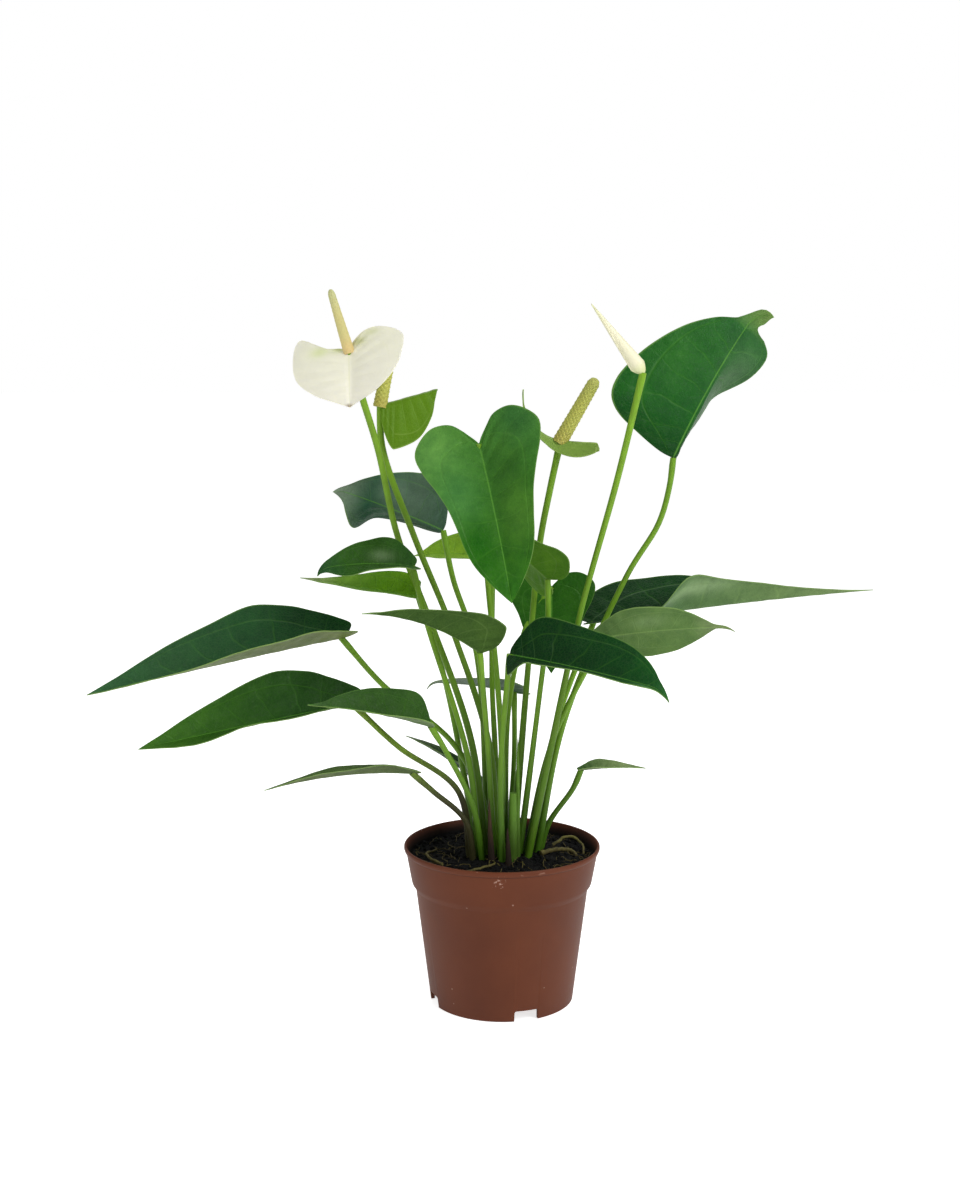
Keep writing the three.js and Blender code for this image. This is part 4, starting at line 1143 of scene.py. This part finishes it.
def grow_spike(base, tip, foot, top, depth):
    """A spadix: a round-tipped rod whose skin stands up in spirals of small bosses."""
    bpy.ops.mesh.primitive_uv_sphere_add(segments=84, ring_count=200, radius=1)
    made = bpy.context.object
    base, tip = Vector(base) * MM, Vector(tip) * MM
    axis = tip - base
    turn = axis.to_track_quat("Z", "Y").to_matrix()
    length = axis.length / MM
    rows_up = length / BOSS_PITCH
    eyes = made.data.attributes.new("eye", "FLOAT", "POINT")
    for vertex in made.data.vertices:
        share = math.acos(max(-1, min(1, -vertex.co.z))) / math.pi
        angle = math.atan2(vertex.co.y, vertex.co.x)
        radius = foot + (top - foot) * share
        radius *= math.sqrt(max(0, 1 - max(0, (share - 0.9) / 0.1) ** 2))
        radius *= min(1, share / 0.004)
        one = 0.5 * (SPIRALS * angle + 2 * math.pi * share * rows_up / 2)
        two = 0.5 * (SPIRALS * angle - 2 * math.pi * share * rows_up / 2)
        boss = abs(math.cos(one)) * abs(math.cos(two))
        radius += depth * (boss**0.7 - 0.5) * min(1, radius)
        eyes.data[vertex.index].value = max(0, (boss - 0.8) / 0.2)
        sway = 0.02 * length * math.sin(math.pi * share)
        flat = Vector((radius * math.cos(angle) + sway, radius * math.sin(angle), length * share)) * MM
        vertex.co = base + turn @ flat
    outside_out(made)
    bpy.ops.object.shade_smooth_by_angle(angle=math.radians(70))
    return made


SPATHE_THICKNESS = 0.8 * MM
PEDUNCLE = (2.4, 1.75, 2.1)
PEDUNCLE_KNEE = 0.2
FRESH_BOSS, AGED_BOSS = 0.18, 0.55
SPIKE_SUNK = 0.045  # the share of its length that a spike starts below the top of its stalk
for name, flower in FLOWERS.items():
    fresh = name == "flower_01"
    skins = (white_bract, white_bract_back) if fresh else (green_bract, green_bract_back)
    bract = grow_blade(flower, SPATHE_THICKNESS, skins)
    settle(bract, name + "_bract", name + "_spathe", flower["slot"])
    path, length = smooth_path([(*flower["crown"], STEM_FOOT), *flower["via"], flower["at"]], STEM_STEPS)
    stalk = rod(path, stem_radii(*PEDUNCLE, length, PEDUNCLE_KNEE))
    settle(stalk, name + "_stalk", name + "_peduncle", "peduncle", peduncle_skin)
    foot = Vector(flower["at"]).lerp(Vector(flower["tip"]), -SPIKE_SUNK)
    spike = grow_spike(foot, flower["tip"], *flower["thick"], FRESH_BOSS if fresh else AGED_BOSS)
    settle(spike, name + "_spike", name + "_spadix", "spadix", cream_spike if fresh else green_spike)

# ---------------------------------------------------------------- flower bud
# The fourth flower is still shut: a white spathe rolled tightly round its spadix, with the free edge
# winding once up the outside.
BUD = dict(crown=(15, -7), via=[(28, -9, 152), (46, -13, 241), (67, -17, 322)])
BUD_BASE = Vector((81.5, -20, 382.7)) * MM
BUD_TIP = Vector((50.3, -20, 423)) * MM
BUD_RADIUS = 4.5 * MM
BELLY = 0.12  # the bud is thickest here, as a share of its length
OVERLAP = 0.16  # the free edge stands this share of the radius above what it covers
WINDING = 2.2  # how far round the free edge winds from foot to tip
BUD_TURN = 1.2

bpy.ops.mesh.primitive_uv_sphere_add(segments=96, ring_count=120, radius=1)
bud = bpy.context.object
bud_axis = BUD_TIP - BUD_BASE
bud_turn = bud_axis.to_track_quat("Z", "Y").to_matrix()
for vertex in bud.data.vertices:
    share = math.acos(max(-1, min(1, -vertex.co.z))) / math.pi
    angle = math.atan2(vertex.co.y, vertex.co.x)
    if share < BELLY:
        swell = math.sqrt(max(0, 1 - (1 - share / BELLY) ** 2)) * 0.55 + 0.45 * share / BELLY
    else:
        swell = 1 - 0.93 * ((share - BELLY) / (1 - BELLY)) ** 1.05
    roll = (angle / (2 * math.pi) + 0.499) % 1
    wound = angle + WINDING * share + BUD_TURN
    radius = BUD_RADIUS * swell * (1 + OVERLAP * (roll - 0.5)) * min(1, (1 - share) / 0.02)
    flat = Vector((radius * math.cos(wound), radius * math.sin(wound), bud_axis.length * share))
    vertex.co = BUD_BASE + bud_turn @ flat
outside_out(bud)
bpy.ops.object.shade_smooth_by_angle(angle=math.radians(50))

# Rolled white bract: cream, with a green flush at its foot and its tip.
rolled_bract, tree = new_material("rolled_bract")
round_and_up = node(tree, "UVMap", uv_map="UVMap").outputs[0]
grid = node(tree, "SeparateXYZ", {0: round_and_up})
stretch = node(tree, "Mapping", {"Vector": round_and_up, "Scale": (12.0, 2.0, 1.0)})
ribs = node(tree, "TexNoise", {"Vector": stretch.outputs[0], "Scale": 1.0, "Detail": 1.0})
first = node(tree, "MapRange", {"Value": grid.outputs[1], "From Max": 0.16, "To Min": 1.0, "To Max": 0.0})
second = node(tree, "MapRange", {"Value": grid.outputs[1], "From Min": 0.7, "To Max": 0.5})
flush = node(tree, "Math", {0: first.outputs[0], 1: second.outputs[0]}, operation="MAXIMUM")
cream = node(tree, "Mix", {0: ribs.outputs[0], 6: linear("#f1edcf"), 7: linear("#ebe6c2")}, data_type="RGBA")
tinted = node(tree, "Mix", {0: flush.outputs[0], 6: cream.outputs[2], 7: linear("#c9d391")}, data_type="RGBA")
surface = node(
    tree, "BsdfPrincipled",
    {"Base Color": tinted.outputs[2], "Roughness": 0.38, "Specular IOR Level": 0.35},
)
node(tree, "OutputMaterial", {"Surface": surface.outputs[0]})
settle(bud, "flower_04_rolled_bract", "flower_04_bud", "white_spathe", rolled_bract)

inside_bud = BUD_BASE / MM + Vector((-0.6, 0, 0.8))
path, length = smooth_path([(*BUD["crown"], STEM_FOOT), *BUD["via"], inside_bud], STEM_STEPS)
bud_stalk = rod(path, stem_radii(*PEDUNCLE, length, PEDUNCLE_KNEE))
settle(bud_stalk, "flower_04_stalk", "flower_04_peduncle", "peduncle", peduncle_skin)

# ---------------------------------------------------------------- shoots and bud sheaths
# At the crown stand a shoot that was cut off, a young one, and the dead papery sheaths of older ones.
# Each is its path in millimetres, and its radii at the foot and the top.
SHOOTS = {
    "shoot_stub": ([(6, -16, STEM_FOOT), (6.5, -16, 112), (6.5, -16, 133)], 3, 2.2),
    "shoot_young": ([(9, -10, STEM_FOOT), (9.4, -10, 130), (9.4, -10, 166)], 2.4, 0.6),
    "sheath_left": ([(-6, -19, STEM_FOOT), (-7.4, -20, 112), (-8, -20, 131)], 2.6, 0.6),
    "sheath_front": ([(4, -23, STEM_FOOT), (3.5, -22.5, 100), (3, -22, 113)], 2.4, 0.6),
}
SHOOT_STEPS = 30
# Young skin is plain green; a dead sheath is dark brown, dry and ribbed.
young_skin = plant_skin("young_shoot_skin", "#3f5c1a", "#5a8424", "#4a6a1f", 0.45, 0.095, 0.125)
dry_sheath = plant_skin("dry_sheath_skin", "#22180f", "#4a3826", "#17100a", 0.8, 0.09, 0.125, streak=0.8)
for name, (points, foot, top) in SHOOTS.items():
    path, _ = smooth_path(points, SHOOT_STEPS)
    radii = []
    for number in range(SHOOT_STEPS):
        share = number / (SHOOT_STEPS - 1)
        end = 1 if name == "shoot_stub" else math.sqrt(max(0.02, 1 - share**6))
        radii.append((foot + (top - foot) * share) * end * MM)
    shoot = rod(path, radii)
    dead = name.startswith("sheath")
    slot = "sheath" if dead else "young_shoot"
    settle(shoot, name + "_skin", name, slot, dry_sheath if dead else young_skin)

# ---------------------------------------------------------------- roots on the soil
# Olive-brown aerial roots that have come up and run over the surface, and dead fibres as fine as thread.
# Each root is its path and its radius in millimetres.
ROOTS = {
    "root_left": ([(-36, -24, 91), (-44, -14, 92), (-46, 0, 91), (-40, 10, 90)], 1),
    "root_front": ([(-32, -44, 90), (-22, -38, 91), (-10, -32, 92), (-2, -20, 92)], 1),
    "root_right": ([(24, -4, 92), (34, 4, 92), (42, 6, 91), (46, -2, 90)], 1.6),
    "root_back": ([(32, 14, 92), (42, 18, 96), (50, 12, 93), (50, 0, 90)], 1),
}
root_bark = plant_skin("root_bark", "#4a3f20", "#6f6a38", "#2f2618", 0.75, 0.088, 0.096, streak=0.8)
ROOT_STEPS = 50
for name, (points, thick) in ROOTS.items():
    path, _ = smooth_path(points, ROOT_STEPS)
    path = [spot + Vector(noise.noise_vector(spot * 260)) * 0.7 * MM for spot in path]
    radii = []
    for number, spot in enumerate(path):
        taper = 1 - 0.4 * number / (ROOT_STEPS - 1)
        radii.append(thick * taper * (1 + 0.2 * noise.noise(spot * 500)) * MM)
    root = rod(path, radii)
    settle(root, name + "_bark", name, "root", root_bark)

FIBRES = 90
FIBRE_STEPS = 14
FIBRE_STEP = 1.3 * MM
fibres = []
for number in range(FIBRES):
    away = SOIL_RADIUS * math.sqrt(random.uniform(0.12, 0.93))
    angle = random.uniform(0, 2 * math.pi)
    spot = Vector((away * math.cos(angle), away * math.sin(angle), 0))
    facing = random.uniform(0, 2 * math.pi)
    path = []
    for step in range(FIBRE_STEPS):
        facing += random.uniform(-0.5, 0.5)
        spot = spot + Vector((math.cos(facing), math.sin(facing), 0)) * FIBRE_STEP
        if spot.length > SOIL_RADIUS * 0.97:
            facing += 1.5
            spot *= 0.96
        hump = 1.2 * MM * math.sin(math.pi * step / (FIBRE_STEPS - 1)) * (number % 3) / 2
        path.append(Vector((spot.x, spot.y, soil_height(spot.x, spot.y) + 0.3 * MM + hump)))
    thick = random.uniform(0.13, 0.34) * MM
    fibres.append(rod(path, [thick] * len(path), roundness=1))
bpy.ops.object.select_all(action="DESELECT")
for fibre in fibres:
    fibre.select_set(True)
bpy.context.view_layer.objects.active = fibres[0]
bpy.ops.object.join()
settle(fibres[0], "root_fibres", "soil", "root", root_bark)
